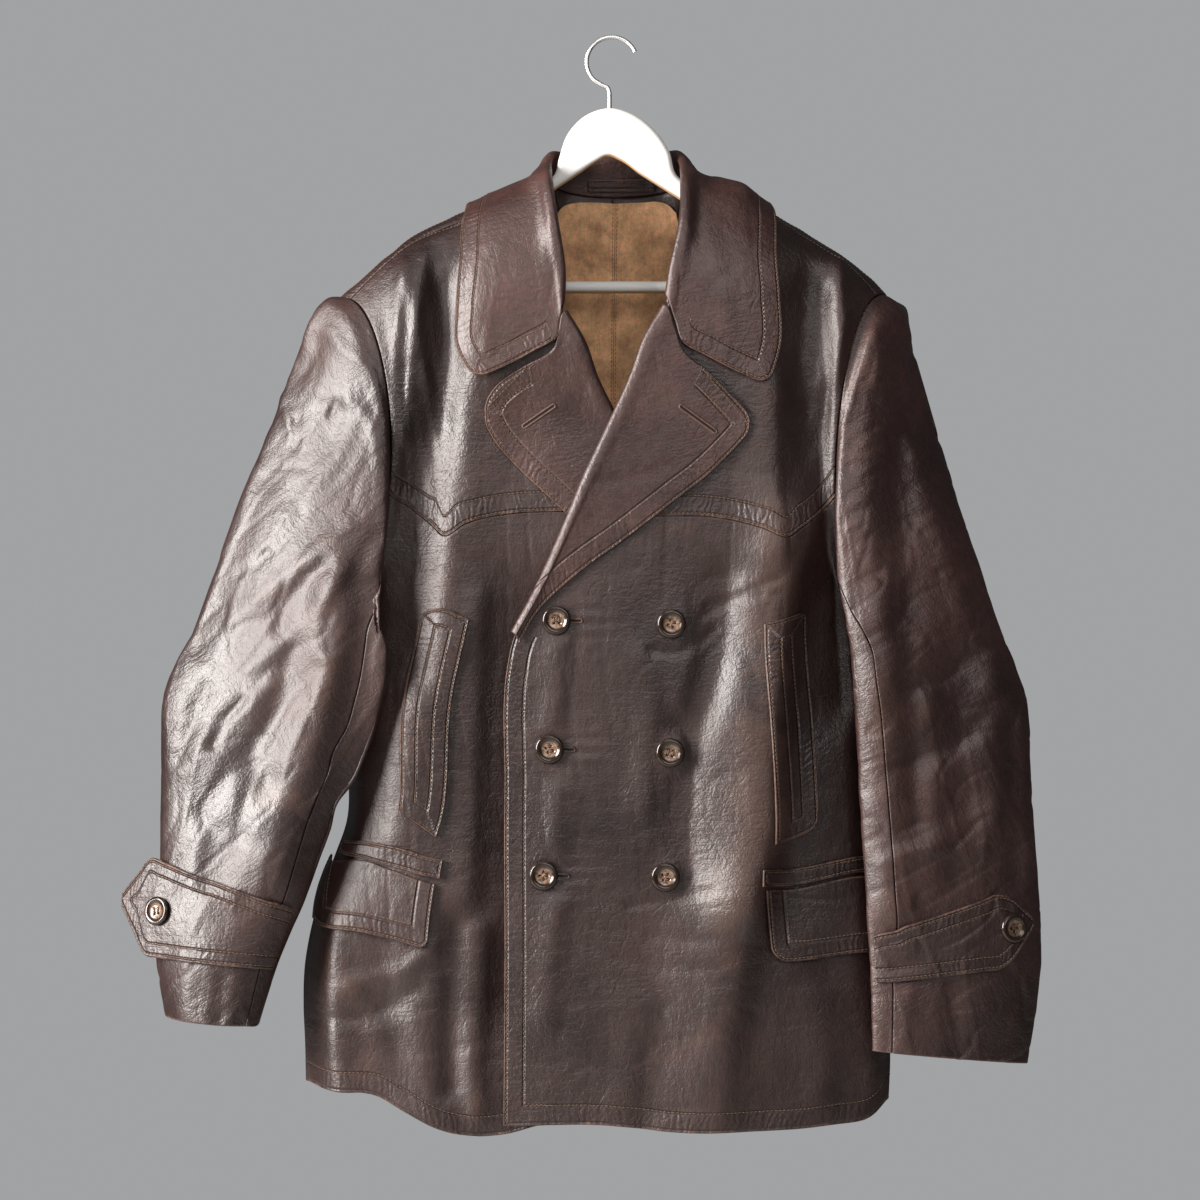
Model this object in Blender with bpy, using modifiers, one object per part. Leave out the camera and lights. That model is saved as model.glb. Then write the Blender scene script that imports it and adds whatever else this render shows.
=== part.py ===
"""A worn double-breasted leather coat on its painted wooden hanger.

+X is to the viewer's right, -Y towards the viewer, +Z up. The origin is the inner top of the hanger's hook,
where a rail holds it. Left and right in names are the wearer's, so a right piece lies at negative x.
Lengths are metres. Outlines and routes are lists of (x, z) in millimetres, as the coat lies flat to the viewer.
"""

import math

import bpy
import numpy as np
from mathutils import Vector

MM = 0.001

# Walls and clearances
LEATHER = 0.0020
COLLAR_LEATHER = 0.0024
FLAP_LEATHER = 0.0025
STRAP_LEATHER = 0.0030
LINING = 0.0012
SEAM_GAP = 0.0003
LAY_GAP = 0.0009
LINING_LAY = 0.0025
COLLAR_LAY = 0.0032
STRAP_LAY = 0.0012
FLAP_LIFT = 0.0035

# Body: depth of the hung front and back, and how they round over the sides and shoulders
FRONT_DEPTH = 0.060
BACK_DEPTH = 0.040
SIDE_ROUNDING = 2.5
SHOULDER_DROP = 0.100
FOLD_FADE = 0.020
UNDERLAP_DEPTH = 0.012
UNDERLAP_RAMP = (-0.165, -0.098)
UNDERLAP_TOP = (-0.335, -0.262)

# Turned edges of collar and lapels
ROLL_RADIUS = 0.0032
ROLL_STEPS = 4

# Buttons
BUTTON_RADIUS = 0.0125
BUTTON_THICKNESS = 0.0042
BUTTON_RIM = 0.0022
BUTTON_SEAT = 0.0006
CUFF_BUTTON_SEAT = 0.0001

# Hanger
HOOK_RADIUS = 0.020
HOOK_WIRE = 0.0038
HOOK_SWEEP = (-1.15, 2.35)
HOOK_STEM_X = -0.002
HOOK_STEM = [(-0.0090, -0.0395), (-0.0035, -0.0425), (HOOK_STEM_X, -0.0470)]
BOARD_THICKNESS = 0.010
BOARD_ROUNDING = 0.0045
BOARD_TOP = -0.0600
BOARD_SEAT = 0.0021
BOARD_FORWARD = 0.0007
BAR_RADIUS = 0.00525
BAR_Z = -0.2155
BAR_END_GAP = 0.0007
ARM_SLOPE = 0.62
ARM_LOW_START = (-51, -132)
ARM_LOW_START_LEFT = (57, -138.5)
ARM_END_X = (-207, 211)
ARM_TOP_X = ((-206, -190, -160, -125, -95, -72), (82, 105, 135, 165, 195, 210))
DOME_RIGHT = [(-60, -125), (-50, -118), (-46, -104), (-38, -82), (-22, -66), (-2, BOARD_TOP / MM)]
DOME_LEFT = [(18, -65), (36, -78), (50, -98), (56, -118), (66, -126)]
ARCH_TOP = (-3, -102)

# Ridge of the shoulders, with the neck as a column between the two neck points
RIDGE = [
    (-330, -300), (-268, -248), (-238, -226), (-200, -193), (-175, -173), (-149, -159), (-122, -147),
    (-90, -133), (-66, -122), (-58, -117), (-52, -100), (-40, -74), (0, -52), (44, -74), (58, -101),
    (66, -119), (76, -123), (110, -132), (135, -148), (172, -171), (193, -184), (223, -206), (239, -223),
    (270, -250), (330, -300),
]
NECK_RIGHT = (-60, -118.5)
NECK_LEFT = (68, -120)
SHOULDER_RIGHT = (-238, -226)
SHOULDER_LEFT = (239, -223)

# Sides of the body by height: (z, x), carried on past the armpits behind the sleeves
SIDE_RIGHT = [
    (-990, -266), (-898, -266), (-796, -266), (-728, -249), (-685, -232), (-573, -234), (-478, -224),
    (-420, -238), (-340, -250), (-226, -258), (-100, -262), (0, -262),
]
SIDE_LEFT = [
    (-990, 240), (-875, 242), (-740, 236), (-600, 225), (-480, 215), (-420, 230), (-340, 246), (-226, 256),
    (-100, 260), (0, 260),
]

# Armholes: middle of the seam's front and back
ARMHOLE_RIGHT = {"top": (-238, -226), "front": (-190, -335), "low": (-224, -478), "back": (-197, -340)}
ARMHOLE_LEFT = {"top": (239, -223), "front": (194, -335), "low": (215, -480), "back": (200, -340)}
YOKE_SEAM_ANGLE = 118
ARMHOLE_ANGLES_YOKE = [YOKE_SEAM_ANGLE * k / 12 for k in range(13)]
ARMHOLE_ANGLES_FRONT = [YOKE_SEAM_ANGLE, 143, 157, 169, 180]
ARMHOLE_ANGLES_BACK = [180, 191, 206, 228, 252, 275, 298, 320, 340, 360]

# Yoke seams, from the roll line to the armhole
YOKE_SEAM_RIGHT = [(36, -413), (-45, -411), (-96, -414), (-124, -421), (-144, -432)]
YOKE_SEAM_RIGHT_END = [(-144, -432), (-160, -418), (-176, -406)]
YOKE_SEAM_LEFT = [(-34, -414), (46, -415), (89, -416), (128, -425), (150, -433)]
YOKE_SEAM_LEFT_END = [(150, -433), (164, -424), (180, -411)]

# Roll lines of the lapels, from the gorge to where the front edge turns
ROLL_RIGHT = [(-42, -241), (-28, -264), (-14, -301), (1, -332), (20, -376), (36, -413)]
ROLL_RIGHT_LOW = [(36, -413), (63, -480), (84, -517)]
ROLL_LEFT = [(47, -236), (31, -263), (20, -293), (0, -338), (-20, -380), (-34, -414)]
ROLL_LEFT_LOW = [(-34, -414), (-63, -480), (-83, -516)]

# Necklines, from the roll line over the shoulder to the middle of the back
NECKLINE_RIGHT = [(-42, -241), (-50, -212), (-57, -165), (-60, -118.5)]
NECKLINE_LEFT = [(47, -236), (57, -210), (65, -165), (68, -120)]
BACK_NECK_RIGHT = [(-60, -118.5), (-48, -127), (-25, -133), (0, -134.5)]
BACK_NECK_LEFT = [(68, -120), (54, -128), (28, -133), (0, -134.5)]

# Front edges and hems
EDGE_LEFT = [(-93, -936), (-92, -795), (-92, -650), (-88, -535), (-83, -516)]
EDGE_RIGHT = [(90, -932), (90, -795), (90, -650), (88, -540), (84, -517)]
HEM_LEFT = [(-93, -936), (3, -936), (48, -941), (123, -941), (191, -937), (228, -930), (240, -918)]
HEM_RIGHT = [
    (90, -932), (0, -934), (-68, -938), (-100, -946), (-138, -943), (-167, -932), (-200, -912), (-240, -908),
    (-266, -904),
]
HEM_BACK_LEFT = [(0, -944), (60, -945), (140, -941), (200, -934), (240, -918)]
HEM_BACK_RIGHT = [(0, -944), (-60, -942), (-140, -936), (-205, -918), (-266, -904)]
SIDE_SEAM_LEFT = [(240, -918), (242, -875), (236, -740), (225, -600), (215, -480)]
SIDE_SEAM_RIGHT = [(-266, -904), (-266, -796), (-249, -728), (-232, -685), (-234, -573), (-224, -478)]
BACK_SEAM = [(0, -944), (0, -700), (0, -400), (0, -134.5)]

# Lapels: top edge from the roll line past the notch to the tip, and outer edge down to the roll's end
LAPEL_TOP_RIGHT = [(-42, -241), (-50, -272)]
LAPEL_NOTCH_RIGHT = [(-50, -272), (-105, -310), (-114, -326)]
LAPEL_EDGE_RIGHT = [(-114, -326), (-97, -356), (-63, -390), (-36, -416), (10, -452), (50, -488), (76, -519)]
LAPEL_TOP_LEFT = [(47, -236), (61, -274)]
LAPEL_NOTCH_LEFT = [(61, -274), (89, -298), (124, -336)]
LAPEL_EDGE_LEFT = [(124, -336), (89, -374), (50, -405), (10, -436), (-31, -466), (-64, -498), (-79, -524)]

# Collar: fold line and outer edge; the sign after a height says front (1), shoulder (0) or back (-1)
COLLAR_FOLD = [
    (-42, -235, 1), (-42, -207, 1), (-48, -163, 1), (-53, -125, 1), (-54, -104, 0), (-40, -101, -1),
    (0, -102, -1), (42, -103, -1), (60, -106, 0), (61, -128, 1), (59, -163, 1), (51, -207, 1), (47, -230, 1),
]
COLLAR_EDGE = [
    (-117, -299, 1), (-131, -272, 1), (-132, -240, 1), (-130, -196, 1), (-122, -147, 0), (-92, -184, -1),
    (0, -196, -1), (98, -184, -1), (135, -148, 0), (140, -192, 1), (143, -230, 1), (143, -272, 1),
    (133, -304, 1),
]
COLLAR_COUNTS = [2, 1, 1, 2, 3, 3, 3, 3, 2, 1, 1, 2]
COLLAR_ROWS = 6
COLLAR_END_RIGHT = ([(-42, -234), (-48, -264)], [(-48, -264), (-83, -284), (-117, -299)])
COLLAR_END_LEFT = ([(47, -230), (60, -267)], [(60, -267), (98, -288), (133, -304)])
NECKLINE_COUNT = 6
ROLL_COUNT = 6
LOW_ROLL_COUNT = 3

# Pockets
WELT_RIGHT = [[(-183, -667), (-150, -691)], [(-164, -497), (-154, -494), (-122, -503)],
              [(-183, -667), (-164, -497)], [(-150, -691), (-122, -503)]]
WELT_LEFT = [[(139, -696), (174, -683)], [(129, -507), (163, -497)],
             [(139, -696), (129, -507)], [(174, -683), (178, -668), (171, -590), (167, -503), (163, -497)]]
FLAP_BAND_RIGHT = [[(-234, -705), (-229, -707), (-147, -726)], [(-231, -693), (-224, -694), (-144, -709)],
                   [(-234, -705), (-231, -693)], [(-147, -726), (-144, -709)]]
FLAP_BAND_LEFT = [[(128, -731), (214, -721), (234, -719)], [(128, -716), (214, -707), (233, -705)],
                  [(128, -731), (128, -716)], [(234, -719), (233, -705)]]
FLAP_RIGHT = [[(-254, -762), (-229, -771), (-166, -782)], [(-241, -708), (-229, -711), (-151, -730)],
              [(-254, -762), (-241, -708)], [(-166, -782), (-158, -779), (-151, -730)]]
FLAP_LEFT = [[(145, -793), (200, -790), (235, -788)], [(131, -734), (214, -724), (235, -722)],
             [(145, -793), (137, -785), (131, -734)], [(235, -788), (235, -722)]]

# Lining of the back where the open neck shows it
LINING_TOP_RIGHT = [(-53, -150), (-42, -140), (-25, -138), (3, -139)]
LINING_TOP_LEFT = [(3, -139), (28, -138), (48, -138), (60, -147)]
LINING_BOTTOM_RIGHT = [(-96, -420), (0, -420)]
LINING_BOTTOM_LEFT = [(0, -420), (98, -420)]
LOOP_ENDS = (-21, 38)
LOOP_Z = -0.124
LOOP_HEIGHT = 0.011
LOOP_STANDOFF = 0.0012

# Large folds of the hung cloth: route, half width and height in millimetres, outwards positive
FRONT_FOLDS = [
    ([(-172, -212), (-166, -262), (-158, -310)], 12, 5.0),
    ([(-142, -215), (-140, -262), (-152, -330), (-168, -390)], 13, -6.5),
    ([(196, -205), (194, -250), (186, -300)], 12, 5.0),
    ([(166, -215), (162, -270), (168, -340)], 13, -4.5),
    ([(-205, -800), (-198, -905)], 22, -5.0),
    ([(-236, -800), (-238, -900)], 18, 4.0),
    ([(112, -560), (104, -700), (108, -930)], 26, 3.0),
    ([(28, -760), (22, -930)], 26, -3.0),
    ([(192, -800), (200, -925)], 20, -4.0),
]
BACK_FOLDS = [
    ([(-80, -250), (-96, -500), (-120, -930)], 24, 4.0),
    ([(88, -250), (98, -500), (124, -930)], 24, 4.0),
    ([(-180, -300), (-172, -420), (-150, -520)], 16, -4.5),
    ([(184, -300), (176, -420), (150, -530)], 16, -4.5),
    ([(-190, -640), (-205, -920)], 22, 4.0),
    ([(180, -640), (190, -920)], 22, 4.0),
    ([(20, -560), (10, -930)], 26, -4.0),
]

# Sleeve rings: outer, inner, front and back point of each, as (x, z, y); the first is the armhole seam
SLEEVE_RIGHT = [
    [(-262, -246, 2), (-216, -497, -36), (-198, -362, -54), (-236, -368, 30)],
    [(-292, -325, 4), (-200, -511, -58), (-228, -412, -56), (-254, -420, 18)],
    [(-320, -390, 4), (-191, -524, -65), (-262, -456, -54), (-256, -462, 4)],
    [(-345, -462, 2), (-193, -562, -62), (-279, -510, -54), (-260, -514, -5)],
    [(-364, -515, 2), (-204, -604, -60), (-294, -560, -53), (-274, -560, -4)],
    [(-388, -566, -2), (-220, -643, -56), (-313, -604, -55), (-296, -604, -2)],
    [(-390, -640, -8), (-240, -683, -52), (-323, -661, -58), (-308, -661, -1)],
    [(-392, -712, -14), (-260, -738, -50), (-332, -724, -63), (-320, -724, 0)],
    [(-394, -790, -22), (-285, -797, -46), (-343, -793, -72), (-336, -793, 5)],
    [(-385, -845, -25), (-302, -851, -45), (-345, -848, -75), (-341, -848, 6)],
]
SLEEVE_LEFT = [
    [(259, -260, 2), (207, -497, -34), (200, -366, -52), (230, -370, 28)],
    [(279, -325, 2), (202, -512, -55), (226, -415, -52), (246, -420, 12)],
    [(309, -428, 0), (204, -534, -60), (260, -480, -52), (252, -480, -8)],
    [(336, -511, -4), (209, -590, -58), (280, -551, -50), (265, -551, -12)],
    [(358, -570, -9), (211, -640, -56), (291, -605, -51), (277, -605, -14)],
    [(363, -640, -13), (214, -700, -55), (295, -670, -52), (282, -670, -16)],
    [(367, -714, -15), (218, -760, -54), (299, -737, -52), (286, -737, -17)],
    [(371, -796, -17), (221, -820, -53), (302, -808, -53), (290, -808, -17)],
    [(359, -887, -19), (222, -873, -51), (296, -880, -53), (285, -880, -17)],
]
SLEEVE_ROWS = 20
SLEEVE_FIRST_PLACE = 0.018
SLEEVE_SEAMS = (143, 252)
SLEEVE_CLEARANCE = 0.0055
SLEEVE_CLEARANCE_PLACE = 0.045
SLEEVE_TURN = (0.6, 1.6)
SLEEVE_FOLDS_RIGHT = [
    ([(-232, -470), (-246, -560), (-269, -645), (-292, -735)], 11, 4.5),
    ([(-258, -480), (-290, -600), (-330, -720)], 13, -4.0),
    ([(-306, -363), (-268, -376)], 10, -4.0),
    ([(-384, -557), (-330, -590), (-290, -640)], 12, -4.0),
]
SLEEVE_FOLDS_LEFT = [
    ([(318, -470), (272, -520), (232, -560)], 11, 3.5),
    ([(352, -560), (300, -585), (246, -640)], 12, -3.5),
    ([(270, -330), (236, -400), (214, -470)], 13, -4.0),
    ([(352, -660), (290, -700), (240, -720)], 13, 3.0),
]

# Cuff straps on their sleeves: place along the sleeve and angle round it, then a free pointed end
STRAP_RIGHT = {
    "from": 158, "to": 52, "rows": ((0.822, 0.908), (0.800, 0.905)), "free": 0.058, "tip": 0.030, "button": -4,
}
STRAP_LEFT = {
    "from": 164, "to": 34, "rows": ((0.803, 0.877), (0.793, 0.893)), "free": 0.0, "tip": 0.028, "button": -3,
}
STRAP_COLUMNS = 12
STRAP_TIP_WIDTH = 0.12
STRAP_STEP = 0.01

FRONT_BUTTONS = {
    "button_front_1": (-47, -504), "button_front_2": (51, -507), "button_front_3": (-53, -614),
    "button_front_4": (50, -617), "button_front_5": (-58, -722), "button_front_6": (46, -723),
}

COLOURS = {
    "leather": ((0.055, 0.030, 0.024), 0.42),
    "lining": ((0.20, 0.095, 0.034), 0.9),
    "horn": ((0.06, 0.025, 0.012), 0.3),
    "paint": ((0.78, 0.76, 0.70), 0.4),
    "steel": ((0.62, 0.62, 0.60), 0.3),
}


def clear_scene():
    for obj in list(bpy.data.objects):
        bpy.data.objects.remove(obj, do_unlink=True)


def material(name, metallic=0.0):
    """One Principled material for one piece, in the colour of its stuff."""
    stuff = name.split(":")[1]
    made = bpy.data.materials.new(name.replace(":", "_"))
    made.use_nodes = True
    shader = made.node_tree.nodes["Principled BSDF"]
    colour, roughness = COLOURS[stuff]
    shader.inputs["Base Color"].default_value = (*colour, 1)
    shader.inputs["Roughness"].default_value = roughness
    shader.inputs["Metallic"].default_value = metallic
    return made


# Curves and grids in the flat

def smooth_through(points, count):
    """Evenly spaced places on a smooth curve through the points, ends included."""
    points = np.asarray(points, float)
    if len(points) == 2:
        share = np.linspace(0, 1, count + 1)[:, None]
        return points[0] * (1 - share) + points[1] * share
    reach = np.concatenate([[0], np.cumsum(np.linalg.norm(np.diff(points, axis=0), axis=1))])
    slope = np.gradient(points, reach, axis=0)
    dense = np.linspace(0, reach[-1], 60 * len(points))
    span = np.clip(np.searchsorted(reach, dense, side="right") - 1, 0, len(points) - 2)
    width = (reach[span + 1] - reach[span])[:, None]
    t = (dense - reach[span])[:, None] / width
    curve = (
        (2 * t**3 - 3 * t**2 + 1) * points[span]
        + (t**3 - 2 * t**2 + t) * width * slope[span]
        + (3 * t**2 - 2 * t**3) * points[span + 1]
        + (t**3 - t**2) * width * slope[span + 1]
    )
    along = np.concatenate([[0], np.cumsum(np.linalg.norm(np.diff(curve, axis=0), axis=1))])
    even = np.linspace(0, along[-1], count + 1)
    return np.stack([np.interp(even, along, curve[:, k]) for k in range(points.shape[1])], axis=1)


def chain(*stretches):
    """Stretches of (points, count) joined end to end, each smooth in itself."""
    parts = [smooth_through(points, count) for points, count in stretches]
    return np.concatenate([parts[0]] + [part[1:] for part in parts[1:]])


def coons(bottom, top, start, end):
    """A grid, rows from bottom to top and columns from start to end, that meets its four edges.

    What bends an end edge is spread over the near columns most, so that no column crosses the next.
    """
    v = np.linspace(0, 1, len(start))[:, None, None]
    u = np.linspace(0, 1, len(bottom))[None, :, None]
    across = (1 - v) * bottom[None] + v * top[None]
    start_bend = start[:, None] - across[:, :1]
    end_bend = end[:, None] - across[:, -1:]
    return across + (1 - u) ** 2 * start_bend + u**2 * end_bend


def ramp(value, low, high):
    """0 up to low, 1 from high on, smooth between."""
    t = np.clip((value - low) / (high - low), 0, 1)
    return t * t * (3 - 2 * t)


# The hung body as a surface

RIDGE_CURVE = smooth_through(RIDGE, 400) * MM
SIDE_CURVES = [smooth_through(side, 400) * MM for side in (SIDE_RIGHT, SIDE_LEFT)]


def ridge(x):
    return np.interp(x, RIDGE_CURVE[:, 0], RIDGE_CURVE[:, 1])


def sides(z):
    return [np.interp(z, side[:, 0], side[:, 1]) for side in SIDE_CURVES]


def to_angles(points, facing=1):
    """(x, z) on the flat as (angle round the body, angle over the shoulder), the latter negative at the back."""
    x, z = points[..., 0], points[..., 1]
    right, left = sides(z)
    share = np.clip((2 * x - left - right) / (left - right), -1, 1)
    around = np.arccos(np.sign(share) * np.abs(share) ** (SIDE_ROUNDING / 2))
    drop = np.clip((ridge(x) - z) / SHOULDER_DROP, 0, None)
    over = np.where(drop < 1, np.arccos(1 - np.minimum(drop, 1)), math.pi / 2 + drop - 1)
    return np.stack([around, over * facing], axis=-1)


def fold_height(x, z, folds):
    """Height in metres of soft ridges and troughs that run along their routes."""
    total = np.zeros(np.shape(x))
    here = np.stack([x, z], axis=-1)
    for route, width, height in folds:
        points = smooth_through(route, 8) * MM
        nearest = np.full(np.shape(x), np.inf)
        for a, b in zip(points[:-1], points[1:]):
            share = np.clip(((here - a) @ (b - a)) / ((b - a) @ (b - a)), 0, 1)
            nearest = np.minimum(nearest, np.linalg.norm(here - a - share[..., None] * (b - a), axis=-1))
        total += height * MM * np.exp(-((nearest / (width * MM)) ** 2))
    return total


def underlap(x, z):
    """How far the under front falls back to leave room for the front and lapel that lie over it."""
    across = ramp(x, *UNDERLAP_RAMP)
    return UNDERLAP_DEPTH * across * (1 - ramp(z, *UNDERLAP_TOP))


def surface(angles, under=False):
    """The outer face of the body at these angles."""
    around, over = angles[..., 0], angles[..., 1]
    steep = np.abs(over)
    fall = SHOULDER_DROP * np.where(steep < math.pi / 2, 1 - np.cos(steep), 1 + steep - math.pi / 2)
    turn = np.cos(around)
    share = np.sign(turn) * np.abs(turn) ** (2 / SIDE_ROUNDING)
    x = share * 0.2
    for _ in range(25):
        z = ridge(x) - fall
        right, left = sides(z)
        x = (left + right) / 2 + share * (left - right) / 2
    roundness = np.abs(np.sin(around)) ** (2 / SIDE_ROUNDING) * np.sin(np.minimum(steep, math.pi / 2))
    front = over >= 0
    depth = np.where(front, FRONT_DEPTH, BACK_DEPTH) * roundness
    folds = np.where(front, fold_height(x, z, FRONT_FOLDS), fold_height(x, z, BACK_FOLDS))
    depth = depth + folds * np.clip(depth / FOLD_FADE, 0, 1)
    if under:
        depth = depth - underlap(x, z) * np.clip(depth / FOLD_FADE, 0, 1)
    return np.stack([x, np.where(front, -depth, depth), z], axis=-1)


def unit(vectors):
    return vectors / np.linalg.norm(vectors, axis=-1, keepdims=True)


def surface_normals(angles, under=False, step=2e-4):
    """Outward normals of the body's outer face."""
    inside = angles.copy()
    inside[..., 0] = np.clip(inside[..., 0], 2 * step, math.pi - 2 * step)
    sign = np.where(inside[..., 1] >= 0, 1.0, -1.0)
    inside[..., 1] = sign * np.maximum(np.abs(inside[..., 1]), 2 * step)
    round_step = np.array([step, 0])
    over_step = np.array([0, step])
    across = surface(inside + round_step, under) - surface(inside - round_step, under)
    down = surface(inside + over_step, under) - surface(inside - over_step, under)
    normal = unit(np.cross(across, down))
    centre = np.array([0.0, 0.0, -0.45])
    outward = np.sum(normal * (surface(inside, under) - centre), axis=-1)
    return normal * np.where(outward < 0, -1.0, 1.0)[..., None]


def clear_of_body(points, height):
    """Points moved out, where they must be, to stand at least this high over the body."""
    points = points.copy()
    for _ in range(3):
        facing = np.where(points[..., 1] <= 0, 1.0, -1.0)
        angles = to_angles(points[..., [0, 2]], facing)
        normal = surface_normals(angles)
        short = height - np.sum((points - surface(angles)) * normal, axis=-1)
        points += normal * np.clip(short, 0, None)[..., None]
    return points


# Meshes

def link_mesh(name, points, faces, stuff, parts):
    mesh = bpy.data.meshes.new(name)
    mesh.from_pydata([tuple(map(float, p)) for p in points], [], [tuple(map(int, f)) for f in faces])
    mesh.materials.append(material(f"{name}:{stuff}"))
    mesh.shade_smooth()
    obj = bpy.data.objects.new(name, mesh)
    parts.objects.link(obj)
    return obj


def shell(name, outer, inner, stuff, parts):
    """One closed wall between two grids of points, with a rim round its four edges."""
    rows, columns = outer.shape[:2]
    index = np.arange(rows * columns).reshape(rows, columns)
    under = rows * columns
    a, b, c, d = index[:-1, :-1], index[:-1, 1:], index[1:, 1:], index[1:, :-1]
    outside = np.stack([a, b, c, d], axis=-1).reshape(-1, 4)
    inside = np.stack([a, d, c, b], axis=-1).reshape(-1, 4) + under
    loop = np.concatenate([index[0], index[1:, -1], index[-1, -2::-1], index[-2:0:-1, 0]])
    after = np.roll(loop, -1)
    rim = np.stack([after, loop, loop + under, after + under], axis=-1)
    faces = np.concatenate([outside, inside, rim])
    points = np.concatenate([outer.reshape(-1, 3), inner.reshape(-1, 3)])
    p, q, r, s = (points[faces[:, k]] for k in range(4))
    volume = np.sum(np.cross(p, q) * r + np.cross(p, r) * s)
    return link_mesh(name, points, faces[:, ::-1] if volume < 0 else faces, stuff, parts)


def trimmed(grid, gap=SEAM_GAP / 2):
    """The grid with its edges drawn in by half a seam's gap."""
    grid = grid.copy()
    for edge, beside in ((0, 1), (-1, -2)):
        grid[edge] += unit(grid[beside] - grid[edge]) * gap
        grid[:, edge] += unit(grid[:, beside] - grid[:, edge]) * gap
    return grid


def grid_normals(grid):
    """Normals of a grid of points, from its own rows and columns."""
    return unit(np.cross(np.gradient(grid, axis=1), np.gradient(grid, axis=0)))


def body_panel(name, bottom, top, start, end, parts, facing=1, under=False, stuff="leather"):
    """A panel of the body between four seams given on the flat."""
    edges = [to_angles(edge * MM, facing) for edge in (bottom, top, start, end)]
    angles = coons(*edges)
    outer = trimmed(surface(angles, under))
    return shell(name, outer, outer - surface_normals(angles, under) * LEATHER, stuff, parts)


def laid_on(angles, height, under=False):
    """Points at a height over the body's outer face."""
    return surface(angles, under) + surface_normals(angles, under) * np.asarray(height)[..., None]


def sheet(name, middle, thickness, stuff, parts, first_normals=None):
    """A wall of one thickness round a grid of middle points."""
    normals = grid_normals(middle)
    if first_normals is not None:
        flip = np.sign(np.sum(normals[0] * first_normals, axis=-1, keepdims=True))
        normals[0] = first_normals * flip
    return shell(name, middle + normals * thickness / 2, middle - normals * thickness / 2, stuff, parts)


def patch(name, outline, counts, thickness, parts, lift=0.0, under=False):
    """A piece laid on the front: four edges on the flat, its far edge lifted a little."""
    edges = [to_angles(np.array(edge, float) * MM) for edge in outline]
    bottom, top = (smooth_through(edge, counts[0]) for edge in edges[:2])
    start, end = (smooth_through(edge, counts[1]) for edge in edges[2:])
    angles = coons(bottom, top, start, end)
    rise = np.linspace(lift, 0, counts[1] + 1)[:, None] * np.ones(counts[0] + 1)
    middle = laid_on(angles, LAY_GAP + thickness / 2 + rise, under)
    return sheet(name, trimmed(middle), thickness, "leather", parts)


# Body panels

def armhole(seam, angles, facing):
    """Points of an armhole seam on the flat, at these angles round it."""
    top, low, side = (np.array(seam[key], float) for key in ("top", "low", "front" if facing > 0 else "back"))
    centre = (top + low) / 2
    turn = np.radians(angles)[:, None]
    return centre + (top - low) / 2 * np.cos(turn) + (side - centre) * np.abs(np.sin(turn))


def shoulder(neck, point, count):
    """Points along the ridge from the neck to the shoulder point."""
    x = np.linspace(neck[0], point[0], count + 1)
    return np.stack([x, ridge(x * MM) / MM], axis=1)


def yoke_seam(seam, end, hole):
    return chain((seam, 8), (end + [tuple(armhole(hole, [YOKE_SEAM_ANGLE], 1)[0])], 4))


def fronts_and_yokes(parts):
    seam_right = yoke_seam(YOKE_SEAM_RIGHT, YOKE_SEAM_RIGHT_END, ARMHOLE_RIGHT)
    seam_left = yoke_seam(YOKE_SEAM_LEFT, YOKE_SEAM_LEFT_END, ARMHOLE_LEFT)
    for name, seam, hem, edge, low_roll, side_seam, hole, under in (
        ("front_right", seam_right, HEM_RIGHT, EDGE_RIGHT, ROLL_RIGHT_LOW, SIDE_SEAM_RIGHT, ARMHOLE_RIGHT,
         True),
        ("front_left", seam_left, HEM_LEFT, EDGE_LEFT, ROLL_LEFT_LOW, SIDE_SEAM_LEFT, ARMHOLE_LEFT, False),
    ):
        up_the_edge = chain((edge, 14), (low_roll[::-1], LOW_ROLL_COUNT))
        up_the_side = np.concatenate([
            smooth_through(side_seam, 13), armhole(hole, ARMHOLE_ANGLES_FRONT[::-1], 1)[1:]
        ])
        body_panel(name, smooth_through(hem, 12), seam, up_the_edge, up_the_side, parts, 1, under)
    for name, seam, roll, neckline, neck, point, hole, under in (
        ("yoke_right", seam_right, ROLL_RIGHT, NECKLINE_RIGHT, NECK_RIGHT, SHOULDER_RIGHT, ARMHOLE_RIGHT, True),
        ("yoke_left", seam_left, ROLL_LEFT, NECKLINE_LEFT, NECK_LEFT, SHOULDER_LEFT, ARMHOLE_LEFT, False),
    ):
        up_the_roll = chain((roll[::-1], ROLL_COUNT), (neckline, NECKLINE_COUNT))
        up_the_hole = armhole(hole, ARMHOLE_ANGLES_YOKE[::-1], 1)
        top = shoulder(neck, point, 12)
        body_panel(name, seam, top, up_the_roll, up_the_hole, parts, 1, under)


def backs(parts):
    for name, hem, side_seam, neckline, neck, point, hole in (
        ("back_right", HEM_BACK_RIGHT, SIDE_SEAM_RIGHT, BACK_NECK_RIGHT, NECK_RIGHT, SHOULDER_RIGHT,
         ARMHOLE_RIGHT),
        ("back_left", HEM_BACK_LEFT, SIDE_SEAM_LEFT, BACK_NECK_LEFT, NECK_LEFT, SHOULDER_LEFT, ARMHOLE_LEFT),
    ):
        up_the_side = np.concatenate([
            smooth_through(side_seam, 13), armhole(hole, ARMHOLE_ANGLES_BACK, -1)[1:]
        ])
        up_the_middle = chain((BACK_SEAM[:3], 13), (BACK_SEAM[2:], 9))
        top = np.concatenate([smooth_through(neckline[::-1], NECKLINE_COUNT), shoulder(neck, point, 8)[1:]])
        body_panel(name, smooth_through(hem, len(top) - 1), top, up_the_middle, up_the_side, parts, -1)


# Collar and lapels

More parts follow.
